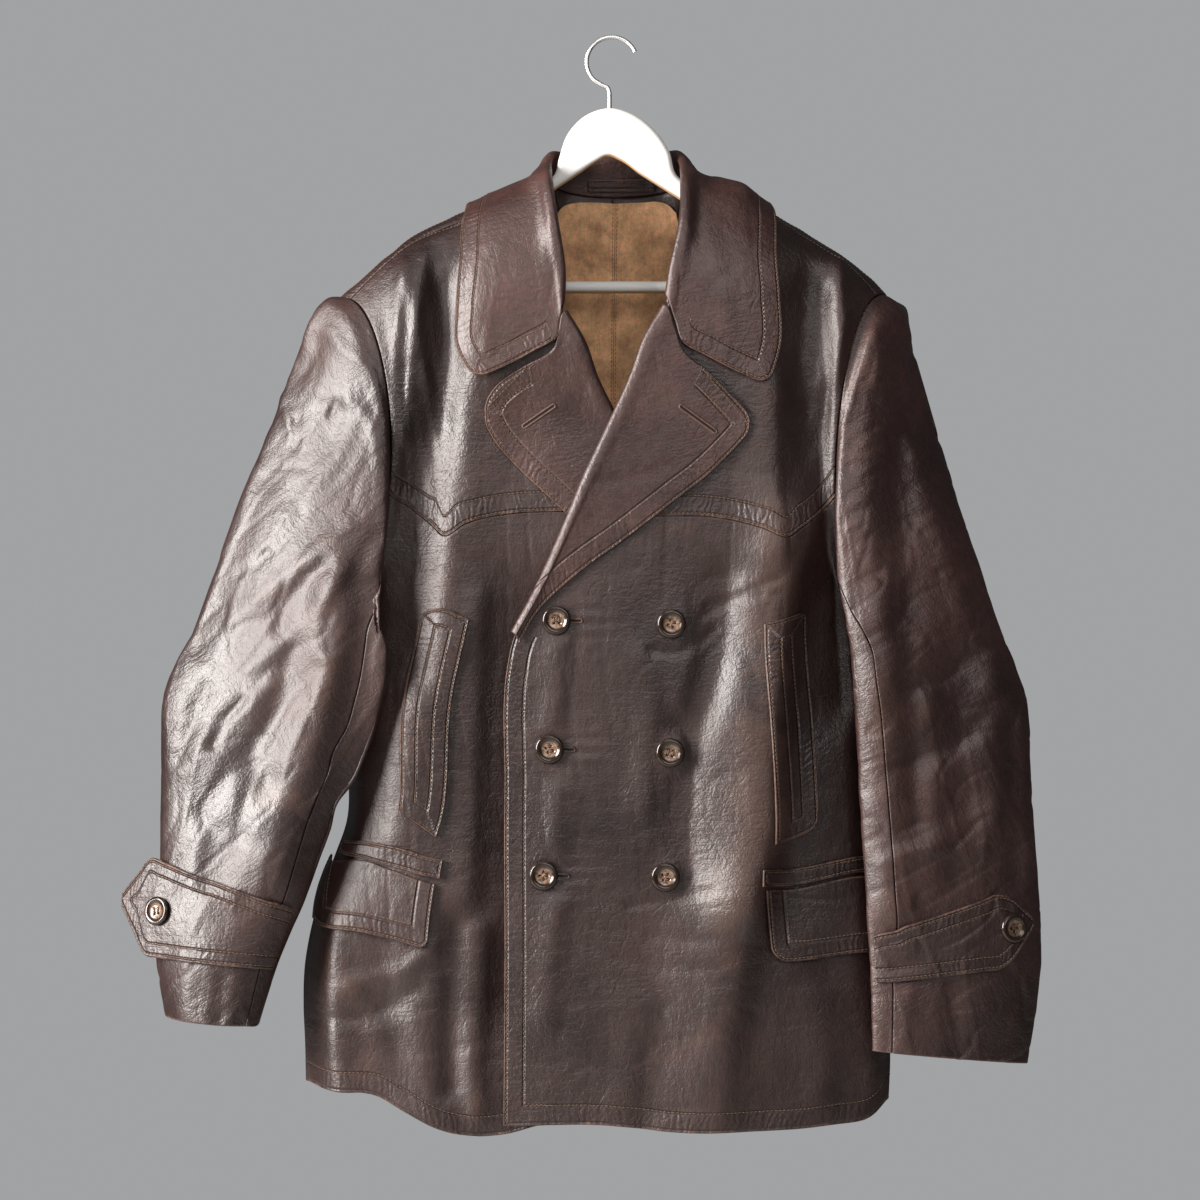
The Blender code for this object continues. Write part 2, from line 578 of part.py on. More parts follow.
def turned_edge(line, normals, inward, start_height):
    """Rows that turn a sheet over from the body's wall to its outside, round a line on the body."""
    rows = []
    for k in range(ROLL_STEPS + 1):
        turn = math.pi * k / ROLL_STEPS
        height = start_height + ROLL_RADIUS * (1 - math.cos(turn))
        rows.append(line + normals * height - inward * ROLL_RADIUS * math.sin(turn))
    return rows


def lapel(name, roll, low_roll, top, notch, edge, under, parts):
    """A lapel: turned over at the roll line, and laid on its own front."""
    down_the_roll = chain((roll, ROLL_COUNT), (low_roll, LOW_ROLL_COUNT))
    down_the_edge = smooth_through(edge, ROLL_COUNT + LOW_ROLL_COUNT)
    across_top = chain((top, 2), (notch, 3))
    across_low = smooth_through([low_roll[-1], edge[-1]], 5)
    grid = coons(down_the_roll, down_the_edge, across_top, across_low)
    angles = to_angles(grid * MM)
    normals = surface_normals(angles, under)
    middle_height = -LEATHER / 2
    top_height = middle_height + 2 * ROLL_RADIUS
    low_height = LAY_GAP + COLLAR_LEATHER / 2
    share = np.linspace(0, 1, len(grid))[:, None] * np.ones(grid.shape[1])
    heights = top_height + (low_height - top_height) * share
    face = surface(angles, under) + normals * heights[..., None]
    line = surface(angles[0], under)
    tangent = unit(np.gradient(line, axis=0))
    inward = unit(np.cross(tangent, normals[0]))
    inward *= np.sign(np.sum(inward * (face[1] - face[0]), axis=-1, keepdims=True))
    middle = np.concatenate([turned_edge(line, normals[0], inward, middle_height)[:-1], face])
    middle = trimmed(middle)
    sheet(name, middle, COLLAR_LEATHER, "leather", parts, normals[0])


def signed_angles(route, counts):
    """A route of (x, z, facing) as angles, evenly cut between its points."""
    flat = np.array([point[:2] for point in route], float)
    facing = np.array([point[2] for point in route], float)
    angles = to_angles(flat * MM, facing)
    angles[facing == 0, 1] = 0
    pieces = []
    reach = np.arange(len(route), dtype=float)
    slope = np.gradient(angles, reach, axis=0)
    for k, count in enumerate(counts):
        t = np.linspace(0, 1, count + 1)[:, None]
        piece = (
            (2 * t**3 - 3 * t**2 + 1) * angles[k] + (t**3 - 2 * t**2 + t) * slope[k]
            + (3 * t**2 - 2 * t**3) * angles[k + 1] + (t**3 - t**2) * slope[k + 1]
        )
        pieces.append(piece if k == 0 else piece[1:])
    return np.concatenate(pieces)


def collar(parts):
    """Stand and fall in one sheet, folded over all round the neck."""
    quarters = [
        to_angles(smooth_through(line, NECKLINE_COUNT) * MM, facing)
        for line, facing in ((NECKLINE_RIGHT, 1), (BACK_NECK_RIGHT, -1), (BACK_NECK_LEFT[::-1], -1),
                             (NECKLINE_LEFT[::-1], 1))
    ]
    seam_angles = np.concatenate([quarters[0]] + [quarter[1:] for quarter in quarters[1:]])
    fold = signed_angles(COLLAR_FOLD, COLLAR_COUNTS)
    edge = signed_angles(COLLAR_EDGE, COLLAR_COUNTS)
    middle_height = -LEATHER / 2
    top_height = middle_height + 2 * ROLL_RADIUS
    low_height = COLLAR_LAY + COLLAR_LEATHER / 2
    fold_normals = surface_normals(fold)
    fold_line = surface(fold)
    seam_line = surface(seam_angles) + surface_normals(seam_angles) * middle_height
    seam_line += unit(fold_line - seam_line) * 2 * SEAM_GAP
    ends = []
    for route in (COLLAR_END_RIGHT, COLLAR_END_LEFT):
        angles = to_angles(chain((route[0], 2), (route[1], COLLAR_ROWS - 2)) * MM)
        heights = np.linspace(top_height, low_height, COLLAR_ROWS + 1)
        ends.append(laid_on(angles, heights))
    fold_top = fold_line + fold_normals * top_height
    outer_edge = laid_on(edge, np.full(len(edge), low_height))
    ends[0][0], ends[0][-1] = fold_top[0], outer_edge[0]
    ends[1][0], ends[1][-1] = fold_top[-1], outer_edge[-1]
    fall = coons(fold_top, outer_edge, ends[0], ends[1])
    fall[1:] = clear_of_body(fall[1:], low_height)
    inward = unit(fall[1] - fall[0])
    stand = [seam_line * (1 - t) + (fold_line + fold_normals * middle_height) * t for t in (0, 0.5)]
    turned = turned_edge(fold_line, fold_normals, inward, middle_height)[:-1]
    middle = trimmed(np.concatenate([stand, turned, fall]))
    sheet("collar", middle, COLLAR_LEATHER, "leather", parts, surface_normals(seam_angles))
    return seam_line, fold_line + fold_normals * middle_height


def inside_the_neck(stand_low, stand_high, parts):
    depth = LEATHER + LINING_LAY + LINING / 2
    for name, top, bottom in (
        ("lining_right", LINING_TOP_RIGHT, LINING_BOTTOM_RIGHT),
        ("lining_left", LINING_TOP_LEFT, LINING_BOTTOM_LEFT),
    ):
        start, end = ([bottom[k], top[k]] for k in (0, -1))
        grid = coons(*(smooth_through(edge, n) for edge, n in ((bottom, 5), (top, 5), (start, 8), (end, 8))))
        middle = laid_on(to_angles(grid * MM, -1), np.full(grid.shape[:2], -depth))
        sheet(name, trimmed(middle), LINING, "lining", parts)
    back = slice(NECKLINE_COUNT + 1, -NECKLINE_COUNT - 1)
    x = np.linspace(*LOOP_ENDS, 9) * MM
    low, high = (
        np.stack([np.interp(x, line[back, 0], line[back, k]) for k in range(3)], axis=1)
        for line in (stand_low, stand_high)
    )
    inside = COLLAR_LEATHER / 2 + LAY_GAP + LEATHER / 2
    bow = inside + LOOP_STANDOFF * np.sin(np.linspace(0, math.pi, 9))
    rows = []
    for z in (LOOP_Z - LOOP_HEIGHT / 2, LOOP_Z + LOOP_HEIGHT / 2):
        share = ((z - low[:, 2]) / (high[:, 2] - low[:, 2]))[:, None]
        row = low * (1 - share) + high * share
        row[:, 1] -= bow
        rows.append(row)
    sheet("hanger_loop", np.array(rows), LEATHER, "leather", parts)


# Sleeves

def sleeve_surface(rings, hole, folds):
    """A function from (place along, angle round) to the sleeve's outer face; place 0 is the armhole."""
    table = []
    centre_ring = [np.array([*hole[key], 0.0]) for key in ("top", "low", "front", "back")]
    for k, facing in ((2, 1), (3, -1)):
        flat = np.array([[centre_ring[k][0], centre_ring[k][1]]]) * MM
        centre_ring[k][2] = surface(to_angles(flat, facing))[0, 1] / MM
    table.append(np.array(centre_ring))
    table += [np.array(ring, float) for ring in rings]
    table = np.array(table)[..., [0, 2, 1]] * MM
    reach = np.linspace(0, 1, len(table))
    slope = np.gradient(table, reach, axis=0)

    def at(place, angle):
        span = np.clip(np.searchsorted(reach, place, side="right") - 1, 0, len(table) - 2)
        width = reach[span + 1] - reach[span]
        t = ((place - reach[span]) / width)[..., None, None]
        w = width[..., None, None]
        ring = (
            (2 * t**3 - 3 * t**2 + 1) * table[span] + (t**3 - 2 * t**2 + t) * w * slope[span]
            + (3 * t**2 - 2 * t**3) * table[span + 1] + (t**3 - t**2) * w * slope[span + 1]
        )
        outer, inner, front, back = (ring[..., k, :] for k in range(4))
        centre = (outer + inner) / 2
        turn = angle[..., None]
        face = np.where(np.sin(turn) > 0, front, back)
        points = centre + (outer - inner) / 2 * np.cos(turn) + (face - centre) * np.abs(np.sin(turn))
        height = fold_height(points[..., 0], points[..., 2], folds)
        facing_front = np.clip(np.sin(angle), 0, 1)
        points[..., 1] -= height * facing_front * ramp(place, 0.0, 0.12)
        far = SLEEVE_CLEARANCE * np.clip(place / SLEEVE_CLEARANCE_PLACE, 0, 1)
        return np.where(place[..., None] > 0, clear_of_body(points, far), points)

    return at


def armhole_ring(hole, degrees, normals=False):
    """The armhole seam in space at these angles, or the body's normals there."""
    turn = np.mod(degrees, 360)
    front = turn <= 180
    flat = np.where(front[:, None], armhole(hole, turn, 1), armhole(hole, turn, -1)) * MM
    angles = to_angles(flat, np.where(front, 1.0, -1.0))
    return surface_normals(angles) if normals else surface(angles)


def sleeve_pieces(side, at, hole, parts):
    """The top sleeve and the under sleeve, cut from one tube at its two seams."""
    degrees = np.array(ARMHOLE_ANGLES_YOKE + ARMHOLE_ANGLES_FRONT[1:] + ARMHOLE_ANGLES_BACK[1:-1], float)
    places = np.insert(np.linspace(0, 1, SLEEVE_ROWS + 1), 1, SLEEVE_FIRST_PLACE)
    place, angle = np.meshgrid(places, np.radians(degrees), indexing="ij")
    tube = at(place, angle)
    tube[0] = armhole_ring(hole, degrees)
    wrapped = np.concatenate([tube[:, -1:], tube, tube[:, :1]], axis=1)
    normals = grid_normals(wrapped)
    normals = unit(normals[:, :-2] + 2 * normals[:, 1:-1] + normals[:, 2:])
    for _ in range(4):
        normals[1:-1] = unit(normals[:-2] + normals[1:-1] + normals[2:])
    centre = tube.mean(axis=1, keepdims=True)
    if np.sum(normals * (tube - centre)) < 0:
        normals = -normals
    body = armhole_ring(hole, degrees, normals=True)
    away = unit(tube[1] - tube[0])
    along = np.roll(tube[0], -1, axis=0) - np.roll(tube[0], 1, axis=0)
    outside = unit(np.cross(along, body))
    outside *= np.sign(np.sum(outside * (tube[0] - centre[0]), axis=-1, keepdims=True))
    lean = np.arctan2(np.sum(normals[0] * outside, axis=-1), np.sum(normals[0] * body, axis=-1))
    lean = np.where(lean < -math.pi / 2, math.pi, np.clip(lean, 0, math.pi))
    lean = (lean * ramp(lean, *SLEEVE_TURN))[:, None]
    tube[0] += (away + 0.75 * (1 - np.cos(lean)) * body - np.sin(lean) * outside) * SEAM_GAP
    normals[0] = body * np.cos(lean) + outside * np.sin(lean)
    front_seam, back_seam = (int(np.flatnonzero(degrees == seam)[0]) for seam in SLEEVE_SEAMS)
    top = list(range(back_seam, len(degrees))) + list(range(front_seam + 1))
    under = list(range(front_seam, back_seam + 1))
    for name, columns in ((f"sleeve_top_{side}", top), (f"sleeve_under_{side}", under)):
        outer = trimmed(tube[:, columns], SEAM_GAP)
        shell(name, outer, trimmed(outer - normals[:, columns] * LEATHER, SEAM_GAP), "leather", parts)


def strap(name, at, spec, parts):
    """A pointed cuff strap that follows its sleeve, and may stand free past it."""
    turns = np.radians(np.linspace(spec["from"], spec["to"], STRAP_COLUMNS + 1))
    share = np.linspace(0, 1, STRAP_COLUMNS + 1)
    low = spec["rows"][0][1] + (spec["rows"][1][1] - spec["rows"][0][1]) * share
    high = spec["rows"][0][0] + (spec["rows"][1][0] - spec["rows"][0][0]) * share
    rows = []
    for t in np.linspace(0, 1, 5):
        place = low * (1 - t) + high * t
        base = at(place, turns)
        down = at(place + STRAP_STEP, turns) - base
        normal = unit(np.cross(down, np.gradient(base, axis=0)))
        normal *= np.sign(-normal[:, 1:2])
        rows.append(base + normal * (STRAP_LAY + STRAP_LEATHER / 2))
    grid = np.array(rows)
    if spec["free"]:
        heading = unit(grid[:, -1] - grid[:, -2])
        more = [grid[:, -1] + heading * spec["free"] * s for s in (0.25, 0.5, 0.75, 1.0)]
        grid = np.concatenate([grid, np.stack(more, axis=1)], axis=1)
    middle_row = grid[2]
    length = np.concatenate([[0], np.cumsum(np.linalg.norm(np.diff(middle_row, axis=0), axis=1))])
    past = np.clip((length - (length[-1] - spec["tip"])) / spec["tip"], 0, 1)
    narrow = 1 - (1 - STRAP_TIP_WIDTH) * past
    grid = middle_row + (grid - middle_row) * narrow[None, :, None]
    sheet(name, grid, STRAP_LEATHER, "leather", parts)
    return grid


def sleeves(parts):
    straps = {}
    for side, rings, hole, folds, spec in (
        ("right", SLEEVE_RIGHT, ARMHOLE_RIGHT, SLEEVE_FOLDS_RIGHT, STRAP_RIGHT),
        ("left", SLEEVE_LEFT, ARMHOLE_LEFT, SLEEVE_FOLDS_LEFT, STRAP_LEFT),
    ):
        at = sleeve_surface(rings, hole, folds)
        sleeve_pieces(side, at, hole, parts)
        straps[side] = strap(f"cuff_strap_{side}", at, spec, parts)
    return straps


# Buttons

def button(name, seat, normal, parts):
    """A turned horn button with a raised rim, its back on the seat."""
    r, t, rim = BUTTON_RADIUS, BUTTON_THICKNESS, BUTTON_RIM
    profile = [
        (0, t * 0.62), (r - 2 * rim, t * 0.62), (r - rim, t), (r - rim * 0.3, t * 0.85), (r, t * 0.5),
        (r - rim * 0.5, 0), (0, 0),
    ]
    mesh = bpy.data.meshes.new(name)
    mesh.from_pydata([(x, 0, z) for x, z in profile], [(k, k + 1) for k in range(len(profile) - 1)], [])
    mesh.materials.append(material(f"{name}:horn"))
    obj = bpy.data.objects.new(name, mesh)
    parts.objects.link(obj)
    screw = obj.modifiers.new("turned", "SCREW")
    screw.steps = screw.render_steps = 16
    screw.use_merge_vertices = True
    screw.merge_threshold = 1e-5
    obj.rotation_mode = "QUATERNION"
    obj.rotation_quaternion = Vector((0, 0, 1)).rotation_difference(Vector(tuple(map(float, normal))))
    obj.location = tuple(seat)
    return obj


def seat_over(height_points, centre, normal, room):
    """The place on the line through centre along normal that clears all the points by this much."""
    high = max(float((p - centre) @ normal) for p in height_points)
    return centre + normal * (high + room)


def buttons(straps, parts):
    for name, place in FRONT_BUTTONS.items():
        turn = np.linspace(0, 2 * math.pi, 12, endpoint=False)
        rim = np.stack([np.cos(turn), np.sin(turn)], axis=1) * BUTTON_RADIUS
        centre = np.array([place]) * MM
        angles = to_angles(np.concatenate([centre, centre + rim]))
        points, normals = surface(angles), surface_normals(angles)
        normal = unit(normals.mean(axis=0))
        button(name, seat_over(points, points[0], normal, BUTTON_SEAT), normal, parts)
    for side, spec in (("right", STRAP_RIGHT), ("left", STRAP_LEFT)):
        grid, column = straps[side], spec["button"]
        near = grid[:, column - 1:column + 2].reshape(-1, 3)
        row = grid[2]
        normal = unit(np.cross(row[column + 1] - row[column - 1], grid[3, column] - grid[1, column]))
        normal *= -np.sign(normal[1])
        seat = seat_over(near, row[column], normal, CUFF_BUTTON_SEAT + STRAP_LEATHER / 2)
        button(f"button_cuff_{side}", seat, normal, parts)


# Hanger

def hanger(parts):
    low_right, low_left = ARM_LOW_START, ARM_LOW_START_LEFT
    under_coat = (LEATHER + BOARD_SEAT) / MM
    arm_right, arm_left = ([(x, ridge(x * MM) / MM - under_coat) for x in places] for places in ARM_TOP_X)
    end_right = (ARM_END_X[0], low_right[1] + (ARM_END_X[0] - low_right[0]) * ARM_SLOPE)
    end_left = (ARM_END_X[1], low_left[1] - (ARM_END_X[1] - low_left[0]) * ARM_SLOPE)
    outline = arm_right + DOME_RIGHT + DOME_LEFT + arm_left
    outline += [end_left, low_left, ARCH_TOP, low_right, end_right]
    curve = bpy.data.curves.new("hanger_board", "CURVE")
    curve.dimensions = "2D"
    curve.fill_mode = "BOTH"
    curve.extrude = BOARD_THICKNESS / 2 - BOARD_ROUNDING
    curve.bevel_depth = BOARD_ROUNDING
    curve.bevel_resolution = 2
    curve.offset = -BOARD_ROUNDING
    spline = curve.splines.new("POLY")
    spline.points.add(len(outline) - 1)
    for point, (x, z) in zip(spline.points, outline):
        point.co = (x * MM, z * MM, 0, 1)
    spline.use_cyclic_u = True
    curve.materials.append(material("hanger_board:paint"))
    board = bpy.data.objects.new("hanger_board", curve)
    board.rotation_euler = (math.pi / 2, 0, 0)
    board.location.y = -BOARD_FORWARD
    parts.objects.link(board)

    bpy.ops.mesh.primitive_cylinder_add(vertices=16, radius=BAR_RADIUS, depth=1, rotation=(0, math.pi / 2, 0))
    bar = bpy.context.object
    bar.name = bar.data.name = "hanger_bar"
    bpy.ops.object.transform_apply(location=True, rotation=True, scale=True)
    for vertex in bar.data.vertices:
        z = vertex.co.z + BAR_Z
        start = low_right if vertex.co.x < 0 else low_left
        reach = (start[1] * MM - z) / ARM_SLOPE
        end = abs(start[0]) * MM + reach - BAR_END_GAP
        vertex.co = (math.copysign(end, vertex.co.x), vertex.co.y, z)
    bar.data.materials.append(material("hanger_bar:paint"))
    bar.data.shade_smooth()
    move_to(bar, parts)

    hook = bpy.data.curves.new("hanger_hook", "CURVE")
    hook.dimensions = "3D"
    hook.bevel_depth = HOOK_WIRE / 2
    hook.bevel_resolution = 2
    hook.use_fill_caps = True
    ring = HOOK_RADIUS + HOOK_WIRE / 2
    sweep = [(-ring * math.sin(a), -HOOK_RADIUS + ring * math.cos(a)) for a in np.linspace(*HOOK_SWEEP, 17)]
    route = sweep + HOOK_STEM + [(HOOK_STEM_X, BOARD_TOP + SEAM_GAP)]
    spline = hook.splines.new("POLY")
    spline.points.add(len(route) - 1)
    for point, (x, z) in zip(spline.points, route):
        point.co = (x, 0, z, 1)
    hook.materials.append(material("hanger_hook:steel", 1.0))
    parts.objects.link(bpy.data.objects.new("hanger_hook", hook))


def move_to(obj, collection):
    for other in list(obj.users_collection):
        other.objects.unlink(obj)
    collection.objects.link(obj)


# Build

clear_scene()
coat = bpy.data.collections.new("leather_coat")
bpy.context.scene.collection.children.link(coat)
fronts_and_yokes(coat)
backs(coat)
for name, *lines, below in (
    ("lapel_right", ROLL_RIGHT, ROLL_RIGHT_LOW, LAPEL_TOP_RIGHT, LAPEL_NOTCH_RIGHT, LAPEL_EDGE_RIGHT, True),
    ("lapel_left", ROLL_LEFT, ROLL_LEFT_LOW, LAPEL_TOP_LEFT, LAPEL_NOTCH_LEFT, LAPEL_EDGE_LEFT, False),
):
    lapel(name, *lines, below, coat)
inside_the_neck(*collar(coat), coat)
for welt, shape, below in (("welt_right", WELT_RIGHT, True), ("welt_left", WELT_LEFT, False)):
    patch(welt, shape, (4, 10), FLAP_LEATHER, coat, 0.0, below)
for band, shape, below in (
    ("flap_band_right", FLAP_BAND_RIGHT, True), ("flap_band_left", FLAP_BAND_LEFT, False),
):
    patch(band, shape, (8, 2), FLAP_LEATHER, coat, 0.0, below)
for flap, shape, below in (("flap_right", FLAP_RIGHT, True), ("flap_left", FLAP_LEFT, False)):
    patch(flap, shape, (8, 5), FLAP_LEATHER, coat, FLAP_LIFT, below)
cuff_straps = sleeves(coat)
buttons(cuff_straps, coat)
hanger(coat)
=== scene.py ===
"""Looks of the worn leather coat on its hanger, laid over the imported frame.

Left and right are the wearer's, so a right piece lies at negative x. Lengths are metres. Outlines and routes are
lists of (x, z) in millimetres, as the coat lies flat to the viewer, the same as the solids are built from.
"""

import math

import bpy
import numpy as np
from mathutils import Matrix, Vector


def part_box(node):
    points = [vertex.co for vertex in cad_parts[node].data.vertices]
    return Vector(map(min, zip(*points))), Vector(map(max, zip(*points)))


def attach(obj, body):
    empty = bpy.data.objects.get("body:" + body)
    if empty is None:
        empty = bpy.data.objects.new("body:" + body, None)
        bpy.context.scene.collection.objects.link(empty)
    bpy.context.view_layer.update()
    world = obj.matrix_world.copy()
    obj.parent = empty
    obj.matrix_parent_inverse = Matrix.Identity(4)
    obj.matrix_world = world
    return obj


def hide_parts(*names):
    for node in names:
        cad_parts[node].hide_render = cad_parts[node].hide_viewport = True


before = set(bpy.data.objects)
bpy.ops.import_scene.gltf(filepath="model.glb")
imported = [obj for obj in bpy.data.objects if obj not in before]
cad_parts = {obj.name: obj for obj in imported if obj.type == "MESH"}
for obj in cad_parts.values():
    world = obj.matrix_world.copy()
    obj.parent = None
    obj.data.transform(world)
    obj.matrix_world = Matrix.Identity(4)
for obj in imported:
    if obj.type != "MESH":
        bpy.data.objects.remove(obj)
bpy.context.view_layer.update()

# Camera, light and floor
# A long lens square to the coat's front, broad soft window light from the left, a weak fill from the room and the
# ceiling, and a pale painted floor far below. None of it belongs to the coat.

camera = bpy.data.objects.new("camera", bpy.data.cameras.new("camera"))
camera.data.lens = 122
camera.data.sensor_width = 36
camera.location = (-0.0103, -3.53, -0.4868)
camera.rotation_euler = (math.pi / 2, 0, 0)
bpy.context.scene.collection.objects.link(camera)
bpy.context.scene.camera = camera


def area_light(name, place, target, size, power, colour):
    """A broad light at a place, turned to its target."""
    lamp = bpy.data.lights.new(name, "AREA")
    lamp.shape = "RECTANGLE"
    lamp.size, lamp.size_y = size
    lamp.energy = power
    lamp.color = colour
    holder = bpy.data.objects.new(name, lamp)
    holder.location = place
    holder.rotation_euler = (Vector(target) - Vector(place)).to_track_quat("-Z", "Y").to_euler()
    bpy.context.scene.collection.objects.link(holder)


area_light("window", (-2.50, -1.30, 0.20), (0.0, 0, -0.48), (1.1, 1.9), 235, (1.0, 0.95, 0.915))
area_light("room", (0.5, -3.2, 0.9), (0, 0, -0.5), (2.2, 1.6), 36, (1.0, 0.965, 0.935))
area_light("ceiling", (-0.3, -0.9, 1.7), (0, 0, -0.4), (1.6, 1.0), 8, (1.0, 0.98, 0.95))

world = bpy.data.worlds.new("room")
world.use_nodes = True
bpy.context.scene.world = world
tree = world.node_tree
tree.nodes.clear()
seen = tree.nodes.new("ShaderNodeBackground")
seen.inputs["Color"].default_value = (0.36, 0.365, 0.37, 1)
around = tree.nodes.new("ShaderNodeBackground")
around.inputs["Color"].default_value = (0.82, 0.86, 0.92, 1)
around.inputs["Strength"].default_value = 0.085
path = tree.nodes.new("ShaderNodeLightPath")
choose = tree.nodes.new("ShaderNodeMixShader")
out = tree.nodes.new("ShaderNodeOutputWorld")
tree.links.new(path.outputs["Is Camera Ray"], choose.inputs[0])
tree.links.new(around.outputs[0], choose.inputs[1])
tree.links.new(seen.outputs[0], choose.inputs[2])
tree.links.new(choose.outputs[0], out.inputs[0])

bpy.context.scene.view_settings.view_transform = "Standard"


def add(tree, kind, settings=None, **sockets):
    """A shader node with its settings and sockets; a socket takes a value or another node's output."""
    made = tree.nodes.new("ShaderNode" + kind)
    for key, value in (settings or {}).items():
        setattr(made, key, value)
    for key, value in sockets.items():
        name = key.strip("_").replace("_", " ")
        socket = made.inputs[int(name)] if name.isdigit() else made.inputs[name]
        if isinstance(value, bpy.types.NodeSocket):
            tree.links.new(value, socket)
        else:
            socket.default_value = value
    return made


def new_material(name):
    """An empty material, with its tree, its Principled shader and object coordinates."""
    made = bpy.data.materials.new(name)
    made.use_nodes = True
    tree = made.node_tree
    return made, tree, tree.nodes["Principled BSDF"], add(tree, "TexCoord").outputs["Object"]


made, tree, shader, place = new_material("floor_paint")
speck = add(tree, "TexNoise", Vector=place, Scale=9.0, Detail=5.0)
tone = add(tree, "ValToRGB", Fac=speck.outputs["Fac"])
tone.color_ramp.elements[0].color = (0.52, 0.52, 0.51, 1)
tone.color_ramp.elements[1].color = (0.62, 0.62, 0.60, 1)
tree.links.new(tone.outputs["Color"], shader.inputs["Base Color"])
shader.inputs["Roughness"].default_value = 0.8
mesh = bpy.data.meshes.new("floor")
mesh.from_pydata([(-2.4, -2.4, -1.6), (2.4, -2.4, -1.6), (2.4, 2.4, -1.6), (-2.4, 2.4, -1.6)], [], [(0, 1, 2, 3)])
mesh.materials.append(made)
floor = bpy.data.objects.new("floor", mesh)
bpy.context.scene.collection.objects.link(floor)

# Backs
# Two panels of dark brown cowhide, 2 mm thick, joined down the middle and hung from the hanger's arms. What all the
# leather shares starts here: the body's curves, how a cut piece is laid, its creases, its grain and its wear.

MM = 0.001

LEATHER = 0.0020
SEAM_GAP = 0.0003

# Body: depth of the hung front and back, and how they round over the sides and shoulders
FRONT_DEPTH = 0.060
BACK_DEPTH = 0.040
SIDE_ROUNDING = 2.5
SHOULDER_DROP = 0.100
FOLD_FADE = 0.020
UNDERLAP_DEPTH = 0.012
UNDERLAP_RAMP = (-0.165, -0.098)
UNDERLAP_TOP = (-0.335, -0.262)

# Ridge of the shoulders, with the neck as a column between the two neck points
RIDGE = [
    (-330, -300), (-268, -248), (-238, -226), (-200, -193), (-175, -173), (-149, -159), (-122, -147),
    (-90, -133), (-66, -122), (-58, -117), (-52, -100), (-40, -74), (0, -52), (44, -74), (58, -101),
    (66, -119), (76, -123), (110, -132), (135, -148), (172, -171), (193, -184), (223, -206), (239, -223),
    (270, -250), (330, -300),
]
NECK_RIGHT = (-60, -118.5)
NECK_LEFT = (68, -120)
SHOULDER_RIGHT = (-238, -226)
SHOULDER_LEFT = (239, -223)

# Sides of the body by height: (z, x), carried on past the armpits behind the sleeves
SIDE_RIGHT = [
    (-990, -266), (-898, -266), (-796, -266), (-728, -249), (-685, -232), (-573, -234), (-478, -224),
    (-420, -238), (-340, -250), (-226, -258), (-100, -262), (0, -262),
]
SIDE_LEFT = [
    (-990, 240), (-875, 242), (-740, 236), (-600, 225), (-480, 215), (-420, 230), (-340, 246), (-226, 256),
    (-100, 260), (0, 260),
]

# Armholes: middle of the seam's front and back
ARMHOLE_RIGHT = {"top": (-238, -226), "front": (-190, -335), "low": (-224, -478), "back": (-197, -340)}
ARMHOLE_LEFT = {"top": (239, -223), "front": (194, -335), "low": (215, -480), "back": (200, -340)}
ARMHOLE_ANGLES_BACK = [180, 191, 206, 228, 252, 275, 298, 320, 340, 360]

# Necklines of the back, from the neck point to the middle
BACK_NECK_RIGHT = [(-60, -118.5), (-48, -127), (-25, -133), (0, -134.5)]
BACK_NECK_LEFT = [(68, -120), (54, -128), (28, -133), (0, -134.5)]

# Hems of the back, side seams and the seam down the middle
HEM_BACK_LEFT = [(0, -944), (60, -945), (140, -941), (200, -934), (240, -918)]
HEM_BACK_RIGHT = [(0, -944), (-60, -942), (-140, -936), (-205, -918), (-266, -904)]
SIDE_SEAM_LEFT = [(240, -918), (242, -875), (236, -740), (225, -600), (215, -480)]
SIDE_SEAM_RIGHT = [(-266, -904), (-266, -796), (-249, -728), (-232, -685), (-234, -573), (-224, -478)]
BACK_SEAM = [(0, -944), (0, -700), (0, -400), (0, -134.5)]

# Steps in each quarter of the neckline
NECKLINE_COUNT = 6

# Large folds of the hung cloth: route, half width and height in millimetres, outwards positive
FRONT_FOLDS = [
    ([(-172, -212), (-166, -262), (-158, -310)], 12, 5.0),
    ([(-142, -215), (-140, -262), (-152, -330), (-168, -390)], 13, -6.5),
    ([(196, -205), (194, -250), (186, -300)], 12, 5.0),
    ([(166, -215), (162, -270), (168, -340)], 13, -4.5),
    ([(-205, -800), (-198, -905)], 22, -5.0),
    ([(-236, -800), (-238, -900)], 18, 4.0),
    ([(112, -560), (104, -700), (108, -930)], 26, 3.0),
    ([(28, -760), (22, -930)], 26, -3.0),
    ([(192, -800), (200, -925)], 20, -4.0),
]
BACK_FOLDS = [
    ([(-80, -250), (-96, -500), (-120, -930)], 24, 4.0),
    ([(88, -250), (98, -500), (124, -930)], 24, 4.0),
    ([(-180, -300), (-172, -420), (-150, -520)], 16, -4.5),
    ([(184, -300), (176, -420), (150, -530)], 16, -4.5),
    ([(-190, -640), (-205, -920)], 22, 4.0),
    ([(180, -640), (190, -920)], 22, 4.0),
    ([(20, -560), (10, -930)], 26, -4.0),
]


def course(values, slope, span, t, width=1.0):
    """Places on a smooth curve, t of the way from each span's first value to the next one."""
    return (
        (2 * t**3 - 3 * t**2 + 1) * values[span] + (t**3 - 2 * t**2 + t) * width * slope[span]
        + (3 * t**2 - 2 * t**3) * values[span + 1] + (t**3 - t**2) * width * slope[span + 1]
    )


